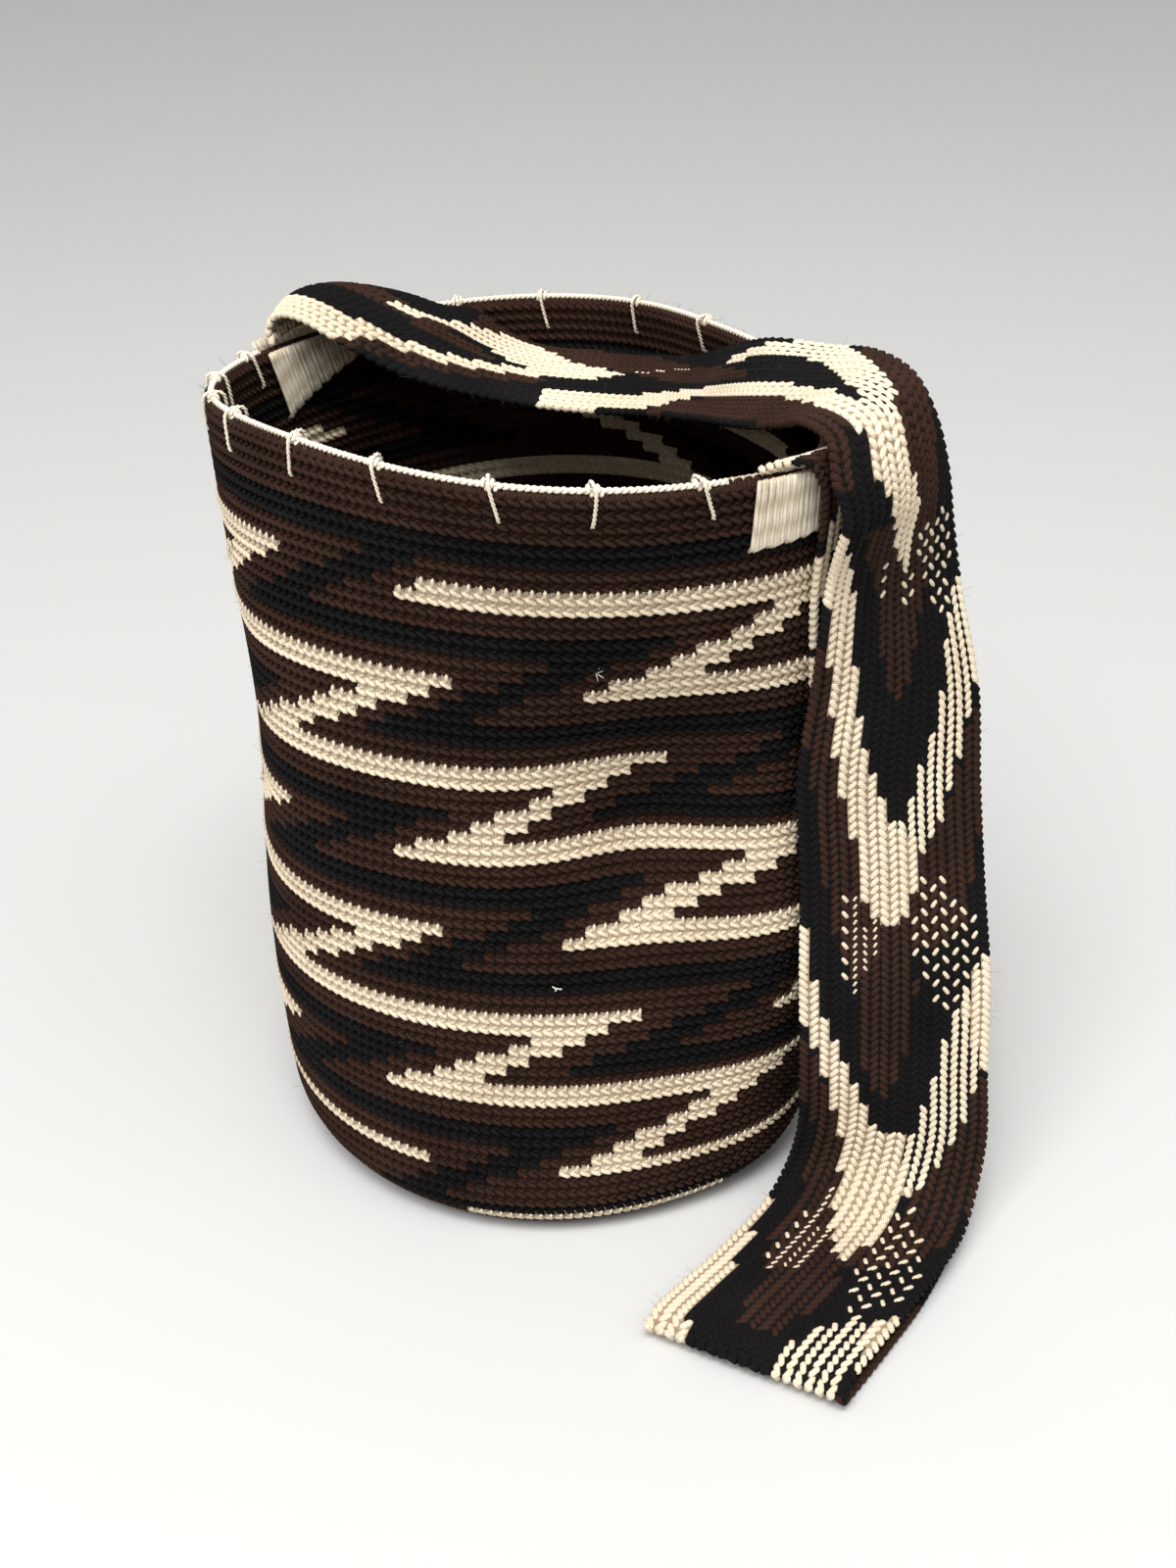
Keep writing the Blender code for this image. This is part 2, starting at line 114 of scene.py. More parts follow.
@dataclass(frozen=True)
class YarnFinish:
    """A cotton yarn: its colours, its twist and the fuzz on it."""

    name: str
    colour: Colour
    shade: Colour
    light: Colour
    sheen: float = 0.25
    twist_scale: tuple[float, float] = (2.6, 1.3)
    twist_turn: float = 0.6
    twist_depth: float = 0.00022
    fibre_scale: float = 1500.0
    patch_scale: float = 34.0
    tone_and_ply_shade_shares: tuple[float, float, float] = (0.38, 0.30, 0.32)
    relief_shares: tuple[float, float] = (0.7, 0.5)
    ramp_ends: tuple[float, float] = (0.22, 0.80)
    roughness: tuple[float, float] = (0.78, 0.98)
    bump: float = 0.7
    specular: float = 0.10
    sheen_roughness: float = 0.45

    def material(self) -> bpy.types.Material:
        """Build the yarn's material.

        Returns:
            A material whose roughness and bump follow the twist and the fibres, and whose colour mixes
            random tone with painted shade in the ply grooves and painted light on their crests, laid on
            by the twist.
        """
        made = bpy.data.materials.new(self.name)
        made.use_nodes = True
        nodes, links = made.node_tree.nodes, made.node_tree.links
        shader = nodes["Principled BSDF"]
        place = nodes.new("ShaderNodeTexCoord")
        fibres = self._noise(nodes, self.fibre_scale, 3.0)
        patches = self._noise(nodes, self.patch_scale, 2.0)
        for noise in (fibres, patches):
            links.new(place.outputs["Object"], noise.inputs["Vector"])
        twist = self._twist(nodes, links, place)
        # Colour: random tone from the fibre and patch noise, plus the twist's waves, which paint shade
        # into the ply grooves and light onto the crests.
        tone_and_ply_shade = self._weighted(nodes, links, zip((fibres, patches, twist), self.tone_and_ply_shade_shares))
        ramp = nodes.new("ShaderNodeValToRGB")
        ends = zip(ramp.color_ramp.elements, self.ramp_ends, (self.shade, self.light))
        for end, position, colour in ends:
            end.position = position
            end.color = (*colour, 1.0)
        ramp.color_ramp.elements.new(0.5).color = (*self.colour, 1.0)
        links.new(tone_and_ply_shade.outputs[0], ramp.inputs["Fac"])
        links.new(ramp.outputs["Color"], shader.inputs["Base Color"])
        rough = nodes.new("ShaderNodeMapRange")
        rough.inputs["To Min"].default_value, rough.inputs["To Max"].default_value = self.roughness
        links.new(fibres.outputs["Fac"], rough.inputs["Value"])
        links.new(rough.outputs["Result"], shader.inputs["Roughness"])
        relief = self._weighted(nodes, links, zip((twist, fibres), self.relief_shares))
        bump = nodes.new("ShaderNodeBump")
        bump.inputs["Strength"].default_value = self.bump
        bump.inputs["Distance"].default_value = self.twist_depth
        links.new(relief.outputs[0], bump.inputs["Height"])
        links.new(bump.outputs["Normal"], shader.inputs["Normal"])
        shader.inputs["Specular IOR Level"].default_value = self.specular
        shader.inputs["Sheen Weight"].default_value = self.sheen
        shader.inputs["Sheen Roughness"].default_value = self.sheen_roughness
        shader.inputs["Sheen Tint"].default_value = (*self.light, 1.0)
        return made

    def _noise(self, nodes: bpy.types.Nodes, scale: float, detail: float) -> bpy.types.Node:
        """Return a noise texture of a scale and detail."""
        noise = nodes.new("ShaderNodeTexNoise")
        noise.inputs["Scale"].default_value = scale
        noise.inputs["Detail"].default_value = detail
        return noise

    def _twist(
        self, nodes: bpy.types.Nodes, links: bpy.types.NodeLinks, place: bpy.types.Node
    ) -> bpy.types.Node:
        """Return the slanting plies of the yarn, laid along its UV map."""
        turned = nodes.new("ShaderNodeMapping")
        turned.inputs["Scale"].default_value = (*self.twist_scale, 1.0)
        turned.inputs["Rotation"].default_value = (0.0, 0.0, self.twist_turn)
        links.new(place.outputs["UV"], turned.inputs["Vector"])
        wave = nodes.new("ShaderNodeTexWave")
        wave.inputs["Scale"].default_value = 0.55
        wave.inputs["Distortion"].default_value = 1.2
        wave.inputs["Detail Scale"].default_value = 2.0
        links.new(turned.outputs["Vector"], wave.inputs["Vector"])
        return wave

    def _weighted(
        self,
        nodes: bpy.types.Nodes,
        links: bpy.types.NodeLinks,
        shares: Iterable[tuple[bpy.types.Node, float]],
    ) -> bpy.types.Node:
        """Return the weighted sum of some textures.

        Args:
            nodes: The material's nodes.
            links: The material's links.
            shares: Each texture and its weight.

        Returns:
            The node whose first output is the sum.
        """
        total = None
        for node, weight in shares:
            part = nodes.new("ShaderNodeMath")
            part.operation = "MULTIPLY_ADD"
            part.inputs[1].default_value = weight
            part.inputs[2].default_value = 0.0
            links.new(node.outputs["Fac"], part.inputs[0])
            if total is not None:
                links.new(total.outputs[0], part.inputs[2])
            total = part
        return total


FINISHES = {
    Yarn.BROWN: YarnFinish(
        "brown yarn", (0.029, 0.0130, 0.0082), (0.011, 0.0050, 0.0032), (0.072, 0.036, 0.024),
        sheen=0.05,
    ),
    Yarn.BLACK: YarnFinish(
        "black yarn", (0.0050, 0.0044, 0.0046), (0.002, 0.0018, 0.0019), (0.015, 0.0135, 0.0135),
        sheen=0.04,
    ),
    Yarn.CREAM: YarnFinish(
        "cream yarn", (0.76, 0.645, 0.48), (0.46, 0.35, 0.23), (0.92, 0.83, 0.67), sheen=0.10
    ),
}
# A darker copy of the cream yarn for the strap sheet under solid cream cords: painted shade between the
# cords.
SHADED_UNDER_CREAM = YarnFinish(
    "cream yarn underneath in painted shade", (0.30, 0.225, 0.15), (0.20, 0.15, 0.10), (0.40, 0.31, 0.22)
)
THREAD_FINISH = YarnFinish(
    "cream sewing thread", (0.80, 0.72, 0.58), (0.60, 0.51, 0.38), (0.94, 0.88, 0.77),
    sheen=0.12, twist_scale=(1.4, 2.0), twist_depth=0.00015,
)
SATIN_FINISH = YarnFinish(
    "satin thread", (0.72, 0.63, 0.49), (0.46, 0.38, 0.27), (0.88, 0.81, 0.68),
    sheen=0.2, twist_scale=(0.3, 0.6), twist_depth=0.00005,
)
FIBRE_FINISH = YarnFinish("loose fibre", (0.16, 0.12, 0.095), (0.09, 0.065, 0.05), (0.26, 0.21, 0.17))
LINT_FINISH = YarnFinish("lint", (0.62, 0.60, 0.56), (0.50, 0.48, 0.44), (0.74, 0.72, 0.68))


class MeshParts:
    """Vertices, faces, UVs and slots that are gathered before one mesh is made of them."""

    def __init__(self) -> None:
        """Start with nothing gathered."""
        self.points: list[Array] = []
        self.faces: list[list[int]] = []
        self.corners: list[Array] = []
        self.slots: list[int] = []
        self.count = 0

    def add_points(self, points: Array) -> int:
        """Add vertices, one in each row, and return the index of the first."""
        first = self.count
        self.points.append(points.reshape(-1, 3))
        self.count += len(self.points[-1])
        return first

    def add_faces(
        self, faces: Array, corners: Array | None = None, slots: int | Sequence[int] = 0
    ) -> None:
        """Add faces of one kind.

        Args:
            faces: Indices into the gathered vertices, one face in each row.
            corners: One UV for each corner of each face, in the faces' order, or None for zeros.
            slots: The material slot of all faces, or one for each.
        """
        self.faces.extend(faces.tolist())
        self.corners.append(np.zeros((faces.size, 2)) if corners is None else corners)
        self.slots.extend([slots] * len(faces) if isinstance(slots, int) else slots)

    def build(self, name: str, finishes: Sequence[YarnFinish]) -> bpy.types.Object:
        """Make the gathered mesh an object at the origin.

        Args:
            name: The piece's name.
            finishes: The finish of each slot.

        Returns:
            The finished piece.
        """
        data = bpy.data.meshes.new(name)
        data.from_pydata(np.concatenate(self.points).tolist(), [], self.faces)
        for finish in finishes:
            data.materials.append(bpy.data.materials.get(finish.name) or finish.material())
        data.polygons.foreach_set("material_index", np.array(self.slots, dtype=np.int32))
        layer = data.uv_layers.new(name="yarn")
        layer.data.foreach_set("uv", np.concatenate(self.corners).astype(np.float32).ravel())
        data.shade_smooth()
        data.update()
        piece = bpy.data.objects.new(name, data)
        bpy.context.scene.collection.objects.link(piece)
        return piece


def set_on_frame(piece: bpy.types.Object, slot: str, *nodes: str) -> bpy.types.Object:
    """Let a piece ride on the frame, and report it.

    Args:
        piece: The finished piece.
        slot: Not used.
        nodes: The CAD nodes that it stands for.

    Returns:
        The same piece.
    """
    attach(piece, "root")
    if nodes:
        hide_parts(*nodes)
    triangles = sum(len(face.vertices) - 2 for face in piece.data.polygons)
    LOG.info("%s: %d triangles", piece.name, triangles)
    return piece


class YarnLoop:
    """One short loop of yarn, modelled once as a grain along X and set down many times."""

    def __init__(self, sides: int) -> None:
        """Model the grain with a number of sides round its length."""
        bpy.ops.object.select_all(action="DESELECT")
        bpy.ops.mesh.primitive_uv_sphere_add(
            segments=sides, ring_count=GRAIN_RINGS, radius=1.0, rotation=(0.0, math.pi / 2, 0.0)
        )
        grain = bpy.context.active_object
        bpy.ops.object.transform_apply(location=False, rotation=True, scale=False)
        data = grain.data
        self.points = np.array([vertex.co for vertex in data.vertices], dtype=float)
        faces = [list(face.vertices) for face in data.polygons]
        self.kinds = [np.array([face for face in faces if len(face) == size]) for size in (3, 4)]
        bpy.data.objects.remove(grain, do_unlink=True)
        bpy.data.meshes.remove(data)

    def set_down(
        self, parts: MeshParts, centre: Array, length: Array, width: Array, height: Array
    ) -> None:
        """Add one grain for each centre.

        Args:
            parts: What the grains are added to.
            centre: The middle of each grain, one in each row.
            length: From each middle to the grain's far tip.
            width: From each middle to the grain's side.
            height: From each middle to the grain's top.
        """
        amount = len(centre)
        if not amount:
            return
        x, y, z = (self.points[None, :, axis, None] for axis in range(3))
        placed = centre[:, None] + x * length[:, None] + y * width[:, None] + z * height[:, None]
        starts = parts.add_points(placed) + np.arange(amount)[:, None, None] * len(self.points)
        shift = (np.arange(amount) * GOLDEN % 1.0)[:, None, None] * np.array([1.0, 0.0])
        for kind in self.kinds:
            flat = self.points[kind][..., :2].reshape(-1, 2)
            parts.add_faces((kind + starts).reshape(-1, kind.shape[1]), (flat + shift).reshape(-1, 2))


def frames_along(path: Array) -> tuple[Array, Array, Array]:
    """Return the direction of a path at each point, and two square to it.

    Args:
        path: The points of the path, one in each row.

    Returns:
        The direction, a side and an upward side, which turn as little as they can.
    """
    along = unit(np.gradient(path, axis=0))
    side = np.zeros_like(along)
    start = np.cross(along[0], (0.0, 0.0, 1.0))
    if np.linalg.norm(start) < 0.1:
        start = np.cross(along[0], (1.0, 0.0, 0.0))
    side[0] = unit(start)
    for index in range(1, len(path)):
        carried = side[index - 1] - along[index] * (side[index - 1] @ along[index])
        side[index] = unit(carried)
    return along, side, np.cross(side, along)


def add_strand(parts: MeshParts, path: Array, radius: float, sides: int = 6) -> None:
    """Add one closed round strand along a path.

    Args:
        parts: What the strand is added to.
        path: The points that it follows, one in each row.
        radius: Its radius.
        sides: How many sides it has.
    """
    _, side, up = frames_along(path)
    turns = np.arange(sides) / sides * FULL_TURN
    rings = path[:, None] + radius * (
        np.cos(turns)[None, :, None] * side[:, None] + np.sin(turns)[None, :, None] * up[:, None]
    )
    count = len(path)
    start = parts.add_points(np.concatenate([rings.reshape(-1, 3), path[:1], path[-1:]]))
    length = length_along(path) / STRAND_IN_UV
    ring, place = np.meshgrid(np.arange(count - 1), np.arange(sides), indexing="ij")
    here, after = ring * sides + place, ring * sides + (place + 1) % sides
    quads = np.stack([here, after, after + sides, here + sides], -1).reshape(-1, 4)
    u, next_u = length[ring], length[ring + 1]
    v = place / sides * 2
    next_v = v + 2 / sides
    parts.add_faces(start + quads, face_uvs((u, v), (u, next_v), (next_u, next_v), (next_u, v)))
    loop = np.arange(sides)
    after = (loop + 1) % sides
    last_ring, first_end = (count - 1) * sides, count * sides
    parts.add_faces(start + np.concatenate([
        np.stack([np.full(sides, first_end), after, loop], 1),
        np.stack([np.full(sides, first_end + 1), last_ring + loop, last_ring + after], 1),
    ]))


def add_twisted(parts: MeshParts, path: Array, radius: float, lay: float, sides: int = 6) -> None:
    """Add a cord of twisted plies along a path.

    Args:
        parts: What the cord is added to.
        path: The points that it follows, close together.
        radius: The whole cord's radius.
        lay: The length of one full turn of a ply.
        sides: How many sides each ply has.
    """
    _, side, up = frames_along(path)
    length = length_along(path)
    for ply in range(PLIES):
        turn = length / lay * FULL_TURN + FULL_TURN * ply / PLIES
        offset = np.cos(turn)[:, None] * side + np.sin(turn)[:, None] * up
        add_strand(parts, path + offset * radius * PLY_REACH, radius * PLY_RADIUS, sides)


def spaced(path: Array, step: float) -> Array:
    """Return a path with its points an even step apart.

    Args:
        path: The points of the path, one in each row.
        step: The distance from one new point to the next.

    Returns:
        The new points, from the first end to the last.
    """
    length = length_along(path)
    marks = np.linspace(0.0, length[-1], max(2, round(length[-1] / step) + 1))
    return np.stack([np.interp(marks, length, path[:, axis]) for axis in range(3)], 1)


def rounded(path: Array, times: int = 2) -> Array:
    """Return a path with its corners cut round, its two ends kept."""
    for _ in range(times):
        near = path[:-1] * 0.75 + path[1:] * 0.25
        far = path[:-1] * 0.25 + path[1:] * 0.75
        path = np.concatenate([path[:1], np.stack([near, far], 1).reshape(-1, 3), path[-1:]])
    return path


@dataclass(frozen=True)
class WallShape:
    """The soft wall's form, the same as the CAD body's: how it leans, sags and dips."""

    height: float = 0.303
    base_radius: float = 0.1108
    mouth_radius: float = 0.1091
    thickness: float = 0.004
    base_thickness: float = 0.005
    corner_radius: float = 0.022
    mouth_shift: tuple[float, float] = (-0.0079, -0.0211)
    belly_shift: float = 0.0086
    mouth_oval: tuple[float, float] = (0.145, math.radians(-61.6))
    base_oval: tuple[float, float] = (0.054, math.radians(86.2))
    three_lobes: tuple[float, float] = (0.037, math.radians(84.6))
    upright_share: float = 0.97
    lobes_at_base: float = 0.25
    hollows: tuple[tuple[float, ...], ...] = (
        (-0.0158, 290.7, 0.61, 20.1, 0.050),
        (0.0126, 314.2, 0.42, 17.7, 0.112),
        (-0.0060, 191.4, 0.59, 19.6, 0.066),
    )
    rim_tilt: tuple[float, float] = (0.0039, -0.0110)
    rim_wave: tuple[float, float] = (0.0012, 0.0033)
    rim_dip: tuple[float, float, float] = (0.010, math.radians(-25), math.radians(24))
    rounds: float = 69.4
    wall_rounds: int = 68
    stitches: int = STITCHES
    round_pitch: float = 0.00436
    lowest: float = 0.0003
    tables: dict[float, tuple[Array, Array]] = field(default_factory=dict, compare=False)

    def rim_height(self, angle: Array) -> Array:
        """Return the height of the wall's top edge at an angle about the bag."""
        depth, at, width = self.rim_dip
        dip = depth * np.exp(-(turn_between(angle, at) / width) ** 2)
        lean = self.rim_tilt[0] * np.cos(angle) + self.rim_tilt[1] * np.sin(angle)
        wave = self.rim_wave[0] * np.cos(2 * angle) + self.rim_wave[1] * np.sin(2 * angle)
        return self.height + lean + wave - dip

    def middle(self, height: Array) -> Array:
        """Return the middle of the wall's outline at a height."""
        t = np.clip(height / (self.upright_share * self.height), 0.0, 1.1)
        x = self.mouth_shift[0] * t**4
        y = self.mouth_shift[1] * t + 4 * self.belly_shift * t * (1 - t)
        return np.stack([x, y, height], -1)

    def radius(self, angle: Array, height: Array) -> Array:
        """Return the outer wall's distance from the middle at an angle and a height."""
        t = np.clip(height / (self.upright_share * self.height), 0.0, 1.1)
        plain = self.base_radius + (self.mouth_radius - self.base_radius) * t * t
        lobes = self.three_lobes[0] * (1 - (1 - self.lobes_at_base) * (1 - t) ** 3)
        share = (
            1
            + self.mouth_oval[0] * t**3 * np.cos(2 * (angle - self.mouth_oval[1]))
            + self.base_oval[0] * (1 - t) ** 4 * np.cos(2 * (angle - self.base_oval[1]))
            + lobes * np.cos(3 * (angle - self.three_lobes[1]))
        )
        soft = 0.0
        for depth, at, height_share, half_width, half_height in self.hollows:
            turn = turn_between(angle, math.radians(at)) / math.radians(half_width)
            lift = (height - height_share * self.height) / half_height
            soft = soft + depth * np.exp(-turn * turn - lift * lift)
        return plain * share + soft

    def point(self, angle: Array, height: Array, past: Array = 0.0, share: Array = 1.0) -> Array:
        """Return the point that lies past the outer wall by a distance along the radius."""
        angle, height = np.broadcast_arrays(np.asarray(angle, float), np.asarray(height, float))
        reach = self.radius(angle, height) * share + past
        away = np.stack([reach * np.cos(angle), reach * np.sin(angle), 0 * reach], -1)
        return self.middle(height) + away

    def on_round(self, angle: Array, row: float, out: float = 0.0) -> Array:
        """Return points of the crochet surface, from the rim over the corner to the base.

        Args:
            angle: Angles about the bag.
            row: Rounds down from the rim, over the corner and in to the base's middle.
            out: The distance outwards from the surface.

        Returns:
            One point in each row.
        """
        radius = self.corner_radius
        height = self.rim_height(angle) * (1 - min(row, self.wall_rounds) / self.rounds)
        bend = np.arcsin(np.clip(1 - height / radius, 0.0, 1.0))
        flat = 0.0 * angle
        if row > self.wall_rounds:
            arc = radius * bend + (row - self.wall_rounds) * self.round_pitch
            bend = np.minimum(arc / radius, math.pi / 2)
            flat = np.maximum(arc - radius * math.pi / 2, 0.0)
            height = radius * (1 - np.sin(bend))
        floor_width = self.base_radius - radius
        outline = self.radius(angle, height) - radius
        reach = outline * np.clip(1 - flat / floor_width, 0.0, 1.0)
        reach = reach + radius * np.cos(bend) + out * np.cos(bend)
        place = self.middle(height)
        place[..., 0] += reach * np.cos(angle)
        place[..., 1] += reach * np.sin(angle)
        place[..., 2] = np.maximum(place[..., 2] - out * np.sin(bend), self.lowest)
        return place

    def angle_of(self, stitch: Array, row: float) -> Array:
        """Return the angle of a stitch, counted along the round from the front to the right."""
        key = round(row, 3)
        if key not in self.tables:
            angles = np.linspace(0.0, FULL_TURN, 721)
            ring = self.on_round(angles, row)
            length = length_along(ring)
            length *= self.stitches / length[-1]
            self.tables[key] = (length - np.interp(FRONT, angles, length), angles)
        along, angles = self.tables[key]
        return np.interp((stitch - along[0]) % self.stitches + along[0], along, angles)

    def at(self, stitch: Array, row: float, out: float = 0.0) -> Array:
        """Return the point of the surface at a stitch and a round."""
        row = max(row, 0.0)
        return self.on_round(self.angle_of(stitch, row), row, out)

    def axes(self, stitch: Array, row: float, out: float = 0.0) -> tuple[Array, Array, Array, Array]:
        """Return the middle of some stitches, a stitch to the right, a round down, and outwards."""
        centre = self.at(stitch, row, out)
        right = self.at(stitch + 0.5, row) - self.at(stitch - 0.5, row)
        low = max(row - 0.5, 0.0)
        down = (self.at(stitch, row + 0.5) - self.at(stitch, low)) / (row + 0.5 - low)
        return centre, right, down, unit(np.cross(down, right))


@dataclass(frozen=True)
class ZigzagPattern:
    """The wall's pattern: cream bars and slanted bands, and a black copy below and to the left."""

    stitches: int = STITCHES
    bar_rounds: tuple[int, ...] = (2, 9, 17, 25, 32, 40, 48, 55, 63, 71)
    repeats: tuple[tuple[int, int], ...] = ((-23, 55), (32, 63), (95, 66))
    bars_in_repeat: int = 3
    last_bar: int = 8
    bar_depth: int = 2
    slant_step: float = 2.35
    slant_width: float = 5
    lean: float = 0.143
    first_cream: int = 9
    first_black: int = 7
    black_below: int = 4
    black_left: float = 19
    black_ring: tuple[int, ...] = (5, 6)
    foot_round: int = 68
    foot: tuple[float, float] = (-1.0, 26.0)

    def tip(self, row: int, repeat: int) -> float:
        """Return the right tip of a repeat's bar, in stitches from the front."""
        start, width = self.repeats[repeat % len(self.repeats)]
        start += repeat // len(self.repeats) * self.stitches
        return start + (row - 1) % self.bars_in_repeat * width / self.bars_in_repeat

    def in_zigzag(self, stitch: float, round_number: int) -> bool:
        """Say whether a stitch of a round lies in the zigzag of bars and slanted bands."""
        for row, first in enumerate(self.bar_rounds[:-1]):
            down = round_number - first
            if not 0 <= down < (1 if row == self.last_bar else self.bar_rounds[row + 1] - first):
                continue
            for repeat in range(len(self.repeats)):
                right = self.tip(row, repeat) - self.slant_step * down
                left = right - self.slant_width
                if down < self.bar_depth and row > 0:
                    before = repeat - 1 if (row - 1) % self.bars_in_repeat == 0 else repeat
                    drop = first - self.bar_rounds[row - 1] + down
                    left = self.tip(row - 1, before) - self.slant_step * drop - self.slant_width
                if (right - stitch) % self.stitches <= right - left:
                    return True
        return False

    def yarn(self, stitch: float, round_number: int) -> Yarn:
        """Return the yarn of a stitch, counted along its own slanting column."""
        if round_number >= self.foot_round:
            from_foot = (stitch - self.foot[0]) % self.stitches
            on_foot = round_number == self.foot_round and from_foot < self.foot[1] - self.foot[0]
            return Yarn.CREAM if on_foot else Yarn.BROWN
        if round_number >= self.first_cream and self.in_zigzag(stitch, round_number):
            return Yarn.CREAM
        copied = self.in_zigzag(stitch + self.black_left, round_number - self.black_below)
        if round_number in self.black_ring or (round_number >= self.first_black and copied):
            return Yarn.BLACK
        return Yarn.BROWN


@dataclass(frozen=True)
class LoopKind:
    """One kind of loop that every stitch has.

    It lies some stitches to the right of the stitch's middle and some rounds above its lower
    edge, and its half length reaches some stitches to the right and some rounds down.
    """

    name: str
    sides: int
    right: float
    above: float
    out: float
    reach: tuple[float, float]
    half_width: float
    half_height: float
    wobble: float = 0.0
    inside: bool = False


LOWER_LOOPS = LoopKind(
    "lower_loops", 6, 0.02, 0.36, 0.00045, (0.60, 0.27), 0.00096, 0.00110, wobble=0.05
)
UPPER_LOOPS = LoopKind("upper_loops", 4, 0.14, 0.76, 0.00035, (-0.34, 0.22), 0.00086, 0.00066)
INSIDE_LOOPS = LoopKind(
    "inside_loops", 4, 0.0, 0.42, -0.0003, (0.50, -0.30), 0.00105, 0.00105, inside=True
)
BASE_LOOPS = replace(LOWER_LOOPS, name="base_loops", sides=5)
INSIDE_BASE_LOOPS = replace(INSIDE_LOOPS, name="inside_base_loops")


@dataclass
class CrochetBody:
    """The body: one closed shell, and the loops of every stitch on it."""

    shape: WallShape
    pattern: ZigzagPattern
    base_rounds: int = 23
    corner_rounds: int = 3
    groove: float = 0.00085
    between: float = 0.00010
    ridge: float = 0.00035
    lip: float = 0.0010
    top_row: float = 0.05
    least_share: float = 0.06
    floor_gap: float = 0.0011
    chain_reach: float = 0.58
    chain_lean: float = 0.00045
    chain_width: float = 0.00105
    chain_height: float = 0.00095
    chain_lift: float = 0.0001
    tooth_right: float = 0.24
    tooth_above: float = 1.06
    tooth_out: float = 0.0013
    tooth_rise: float = 0.38
    tooth_lean: float = 0.05
    tooth_width: float = 0.19
    tooth_height: float = 0.00085

    def build(self) -> list[bpy.types.Object]:
        """Build the shell and the loops.

        Returns:
            The body's pieces.
        """
        rows = range(1, self.shape.wall_rounds + self.base_rounds + 1)
        columns = range(STITCHES)
        self.yarns = {row: [self.pattern.yarn(k + 0.5, row) for k in columns] for row in rows}
        pieces = [self._shell()]
        wall = range(1, self.shape.wall_rounds + 1)
        for kind in (LOWER_LOOPS, UPPER_LOOPS, INSIDE_LOOPS):
            pieces += self._loops(kind, wall)
        base = range(self.shape.wall_rounds + 1, self.shape.wall_rounds + self.base_rounds)
        for kind in (BASE_LOOPS, INSIDE_BASE_LOOPS):
            pieces += self._loops(kind, base)
        pieces.append(self._rim_chain())
        pieces.append(self._teeth())
        return pieces

    def stitch_at(self, column: Array, row: float) -> Array:
        """Return where a column of stitches is at a round, for the columns lean to the left."""
        lean = self.pattern.lean * (min(row, self.shape.wall_rounds) + 0.5 - self.pattern.first_cream)
        return column - lean

    def _ring(self, columns: int, row: float, out: float, between: float) -> Array:
        """Return a ring of the shell, low between its stitches."""
        place = np.arange(columns) / columns * self.shape.stitches
        stitch = self.stitch_at(place, row)
        middle = np.abs((place % 1.0) - 0.5) < 0.25
        angle = self.shape.angle_of(stitch, row)
        high = self.shape.on_round(angle, row, out)
        low = self.shape.on_round(angle, row, out - between)
        return np.where(middle[:, None], high, low)

    def _shell(self) -> bpy.types.Object:
        """Build the closed shell: the outside, the rim, the inside and both faces of the base."""
        fine, coarse = 2 * self.shape.stitches, self.shape.stitches
        last = self.shape.wall_rounds + self.base_rounds
        outer = [self.top_row] + [half / 2 for half in range(1, 2 * self.shape.wall_rounds + 1)]
        outer += [float(row) for row in range(self.shape.wall_rounds + 1, last + 1)]
        rings: list[tuple[Array, float]] = []
        for row in reversed(outer):
            sunk = self.groove if row == int(row) else 0.0
            rings.append((self._ring(coarse, row, -self._thickness(row) + sunk, 0.0), row))
        rings.append((self._ring(coarse, 0.0, self.lip - self.shape.thickness, 0.0), 0.0))
        rings.append((self._ring(fine, 0.0, -self.lip, 0.0), 0.0))
        for row in outer:
            relief = -self.groove if row == int(row) else self.ridge
            rings.append((self._ring(fine, row, relief, self.between), row))
        parts = MeshParts()
        starts = [parts.add_points(ring) for ring, _ in rings]
        poles = parts.add_points(np.stack([rings[0][0].mean(0), rings[-1][0].mean(0)]))
        for index in range(len(rings) - 1):
            self._join(parts, rings, starts, index)
        for pole, ring in ((poles, 0), (poles + 1, -1)):
            size = len(rings[ring][0])
            loop = starts[ring] + np.arange(size)
            after = starts[ring] + (np.arange(size) + 1) % size
            fan = np.stack([np.full(size, pole), after, loop], 1)
            corners = np.tile([[0.5, 0.0], [0.0, 1.0], [1.0, 1.0]], (size, 1))
            parts.add_faces(fan, corners, Yarn.BROWN.value)
        piece = parts.build("bag_wall", [FINISHES[yarn] for yarn in Yarn])
        face_outwards(piece)
        return set_on_frame(piece, "body_yarn", "bag_body")

    def _join(
        self, parts: MeshParts, rings: list[tuple[Array, float]], starts: list[int], index: int
    ) -> None:
        """Join a ring of the shell to the next one.

        Args:
            parts: What the faces are added to.
            rings: Each ring's points and its round.
            starts: The index of each ring's first vertex.
            index: The first of the two rings.
        """
        (ring, row), (following, next_row) = rings[index], rings[index + 1]
        size, next_size = len(ring), len(following)
        here, there = starts[index], starts[index + 1]
        place = np.arange(size)
        after = (place + 1) % size
        if next_size != size:
            low = there + next_size // size * place
            after_low = there + (next_size // size * place + 2) % next_size
            fan = np.concatenate([
                np.stack([here + place, low, low + 1], 1),
                np.stack([here + place, low + 1, here + after], 1),
                np.stack([here + after, low + 1, after_low], 1),
            ])[:, ::-1]
            parts.add_faces(fan, slots=Yarn.BROWN.value)
            return
        quads = np.stack([here + place, there + place, there + after, here + after], 1)
        yarns = self.yarns[int(math.floor(min(row, next_row))) + 1]
        slots = [yarns[k].value for k in place * self.shape.stitches // size]
        left = place * self.shape.stitches / size
        right = left + self.shape.stitches / size
        corners = face_uvs((left, row), (left, next_row), (right, next_row), (right, row))
        parts.add_faces(quads, corners, slots)

